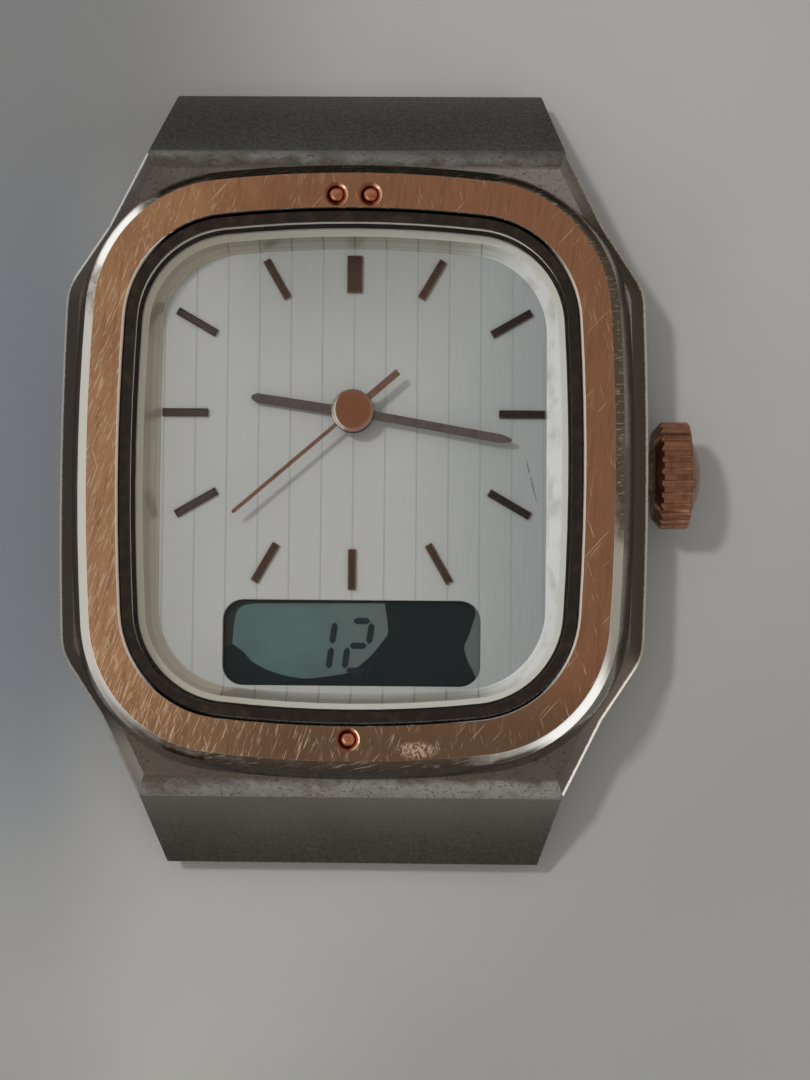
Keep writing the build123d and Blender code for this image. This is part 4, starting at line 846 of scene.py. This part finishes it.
def makeBlot(name, part):
    v = displayPicture
    bottom = v[part + "Bottom"] * mm
    bm = bmesh.new()
    bm.faces.new([bm.verts.new((x * mm, y * mm, bottom)) for x, y in v[part + "Outline"]])
    bmesh.ops.bevel(bm, geom=bm.verts[:], offset=v["softening"] * mm, offset_type="OFFSET",
                    affect="VERTICES", segments=3, profile=0.5, material=-1)
    raised = bmesh.ops.extrude_face_region(bm, geom=bm.faces[:])
    bmesh.ops.translate(bm, vec=(0, 0, v["thickness"] * mm),
                        verts=[g for g in raised["geom"] if isinstance(g, bmesh.types.BMVert)])
    material = makeMatte(name + "Dark", v[part], v[part + "Cloud"], 0.9, 0.3, shine=v["shine"])
    addToDisplay(name, bm, material)


def makeDigits():
    # the segments again, as they show at the front
    v = displayPicture
    bm = nodeCopy("lcd_segments")
    foot = min(corner.co.z for corner in bm.verts)
    height = max(corner.co.z for corner in bm.verts) - foot
    bmesh.ops.translate(bm, vec=(0, 0, -foot), verts=bm.verts)
    bmesh.ops.scale(bm, vec=(1, 1, v["thickness"] * mm / height), verts=bm.verts)
    bmesh.ops.translate(bm, vec=(0, 0, v["digitsBottom"] * mm), verts=bm.verts)
    addToDisplay("displayDigits", bm, displayDark)


makeBlot("displayStain", "stain")
makeBlot("displayWindowShadow", "windowShadow")
makeDigits()
print("stage: display picture made")


# floor: pale, with painted shade: dimmer at the lower right, and a cool and a shaded side at the
# left

floorLook = {
    "tone": (0.36, 0.352, 0.332), "cloud": (0.34, 0.333, 0.314), "dim": (0.275, 0.268, 0.252),
    "cool": (0.175, 0.183, 0.200), "shade": (0.185, 0.184, 0.182), "half": 3.0,
    "dimRange": (18.0, 36.0), "dimAmount": 0.75,
    "nearX": (-34.0, -20.0), "nearY": (36.0, 22.0),  # the cool and shaded sides end here
    "coolX": (-8.5, -16.0), "coolY": (-26.0, -8.0), "coolFoot": 0.25,
    "shadeX": (2.0, -12.0), "shadeY": (8.0, 18.0), "shadeAmount": 0.9, "relief": 0.01,
}


def makeFloor():
    v = floorLook
    bm = bmesh.new()
    bmesh.ops.create_grid(bm, x_segments=1, y_segments=1, size=v["half"])
    material, tree = startMaterial("paleFloor")
    cloud = noise(tree, 14.0, detail=3)
    fine = noise(tree, 0.25, detail=3, rough=0.7)
    x, y, _ = position(tree)
    tone = blendColour(tree, spread(tree, cloud, 0.3, 0.7), v["tone"], v["cloud"])
    # painted shade towards the lower right
    dim = spread(tree, minus(tree, x, y), *v["dimRange"], 0.0, v["dimAmount"])
    tone = blendColour(tree, dim, tone, v["dim"])
    near = times(tree, spread(tree, x, *v["nearX"]), spread(tree, y, *v["nearY"]))
    # a cool painted shadow at the left
    cool = times(tree, spread(tree, x, *v["coolX"]),
                 spread(tree, y, *v["coolY"], v["coolFoot"], 1.0), near)
    tone = blendColour(tree, cool, tone, v["cool"])
    shade = times(tree, spread(tree, x, *v["shadeX"]), spread(tree, y, *v["shadeY"]), near,
                  v["shadeAmount"])
    tone = blendColour(tree, shade, tone, v["shade"])
    endMaterial(tree, surface(tree, colour=tone, rough=0.75, shine=0.2,
                              normal=bump(tree, fine, v["relief"], 0.4)))
    return newPiece("floor", bm, material)


# cards that only mirror images show: dark near the table, pale above, white at the upper
# left and at the lower right

cardLook = {
    "radius": 36.0, "height": 34.0, "lift": 0.05,
    "white": (1.15, 1.15, 1.15), "side": (0.62, 0.60, 0.57), "dark": (0.05, 0.048, 0.042),
    "warm": (0.06, 0.048, 0.038), "warmEdge": (0.32, 0.31, 0.29), "wood": (0.30, 0.27, 0.22),
    "right": (0.42, 0.385, 0.32), "upperEdge": (0.44, 0.42, 0.40), "upperLow": (0.36, 0.34, 0.32),
    "upperRight": (0.34, 0.33, 0.31), "upperFar": (0.36, 0.355, 0.34), "top": (0.56, 0.55, 0.54),
    "patch": (1.5, 1.48, 1.42),
    # colours once round from nine o'clock by way of six, near the table and above
    "lowStops": [(0.0, "side"), (0.07, "side"), (0.11, "warmEdge"), (0.17, "warm"),
                 (0.33, "warm"), (0.352, "white"), (0.405, "white"), (0.43, "wood"),
                 (0.54, "right"), (0.66, "dark"), (0.84, "dark"), (0.865, "white"),
                 (0.915, "white"), (0.945, "side"), (1.0, "side")],
    "highStops": [(0.0, "side"), (0.09, "side"), (0.13, "upperEdge"), (0.20, "upperLow"),
                  (0.32, "upperLow"), (0.35, "white"), (0.41, "white"), (0.44, "upperRight"),
                  (0.58, "upperRight"), (0.66, "upperFar"), (0.84, "upperFar"),
                  (0.865, "white"), (0.915, "white"), (0.945, "side"), (1.0, "side")],
    "highStart": (5.2, 7.4), "topStart": (9.0, 15.0),
    "patchStart": (14.0, 17.0), "patchFirst": (0.0, 0.02), "patchLast": (0.185, 0.165),
}


def makeCardRing():
    v = cardLook
    bm = bmesh.new()
    bmesh.ops.create_cone(bm, cap_ends=False, segments=96, radius1=v["radius"] * mm,
                          radius2=v["radius"] * mm, depth=v["height"] * mm)
    bmesh.ops.translate(bm, vec=(0, 0, (v["height"] / 2 + v["lift"]) * mm), verts=bm.verts)
    material, tree = startMaterial("studioCards")
    x, y, z = position(tree)
    place = around(tree, x, y)
    low, high = [colourStops(tree, place, [(stop, v[name]) for stop, name in v[row]])
                 for row in ("lowStops", "highStops")]
    colour = blendColour(tree, spread(tree, z, *v["highStart"]), low, high)
    colour = blendColour(tree, spread(tree, z, *v["topStart"]), colour, v["top"])
    # a bright patch high at the left and lower left, seen by domes and dimples
    patch = times(tree, spread(tree, z, *v["patchStart"]),
                  times(tree, spread(tree, place, *v["patchLast"]),
                        spread(tree, place, *v["patchFirst"])))
    colour = blendColour(tree, patch, colour, v["patch"])
    glow = addNode(tree, "ShaderNodeEmission", {"Color": colour, "Strength": 1.0})
    endMaterial(tree, glow.outputs[0])
    ring = newPiece("studioCards", bm, material)
    ring.visible_camera = False
    ring.visible_diffuse = False
    ring.visible_shadow = False
    ring.visible_transmission = False
    return ring


makeFloor()
makeCardRing()


# sky, lamps and camera

skyStops = [(0.0, (0.42, 0.415, 0.405)), (0.35, (0.50, 0.495, 0.485)), (0.8, (0.46, 0.46, 0.46))]


def makeWorld():
    world = bpy.data.worlds.new("studioSky")
    world.use_nodes = True
    tree = world.node_tree
    tree.nodes.clear()
    coords = addNode(tree, "ShaderNodeTexCoord")
    sky = colourStops(tree, partsOf(tree, coords.outputs["Generated"])[2], skyStops)
    back = addNode(tree, "ShaderNodeBackground", {"Color": sky, "Strength": 1.0})
    addNode(tree, "ShaderNodeOutputWorld", {"Surface": back.outputs[0]})
    bpy.context.scene.world = world


lamps = {
    "windowLeft": {"place": (-0.125, 0.084, 0.354), "size": 0.030, "energy": 0.55,
                   "colour": (0.985, 0.99, 1.0)},
    "lampRight": {"place": (0.20, -0.20, 0.24), "size": 0.20, "energy": 0.12,
                  "colour": (1.0, 0.95, 0.88)},
    "overhead": {"place": (-0.02, 0.05, 0.40), "size": 0.40, "energy": 0.35,
                 "colour": (1.0, 1.0, 1.0)},
}


def addLamp(name, place, size, energy, colour):
    lamp = bpy.data.lights.new(name, "AREA")
    lamp.shape = "SQUARE"
    lamp.size = size
    lamp.energy = energy
    lamp.color = colour
    holder = bpy.data.objects.new(name, lamp)
    holder.location = Vector(place)
    holder.rotation_euler = (-Vector(place)).to_track_quat("-Z", "Y").to_euler()
    holder.visible_glossy = False  # polished pieces show the cards and the sky, not the lamps
    bpy.context.scene.collection.objects.link(holder)


makeWorld()
for lampName, values in lamps.items():
    addLamp(lampName, **values)

cameraLook = {
    "place": (4.61, -9.032, 111.379), "turn": (0.055, 0.020, 0.009), "lens": 77.05,
    "sensor": 36.0, "near": 0.002, "far": 20.0,
}


def addCamera():
    v = cameraLook
    camera = bpy.data.cameras.new("camera")
    camera.lens = v["lens"]
    camera.sensor_width = v["sensor"]
    camera.sensor_fit = "AUTO"
    camera.clip_start = v["near"]
    camera.clip_end = v["far"]
    holder = bpy.data.objects.new("camera", camera)
    holder.location = [coordinate * mm for coordinate in v["place"]]
    holder.rotation_euler = v["turn"]
    bpy.context.scene.collection.objects.link(holder)
    bpy.context.scene.camera = holder


addCamera()
bpy.context.scene.view_settings.view_transform = "Standard"
print("stage: floor, light and camera set")
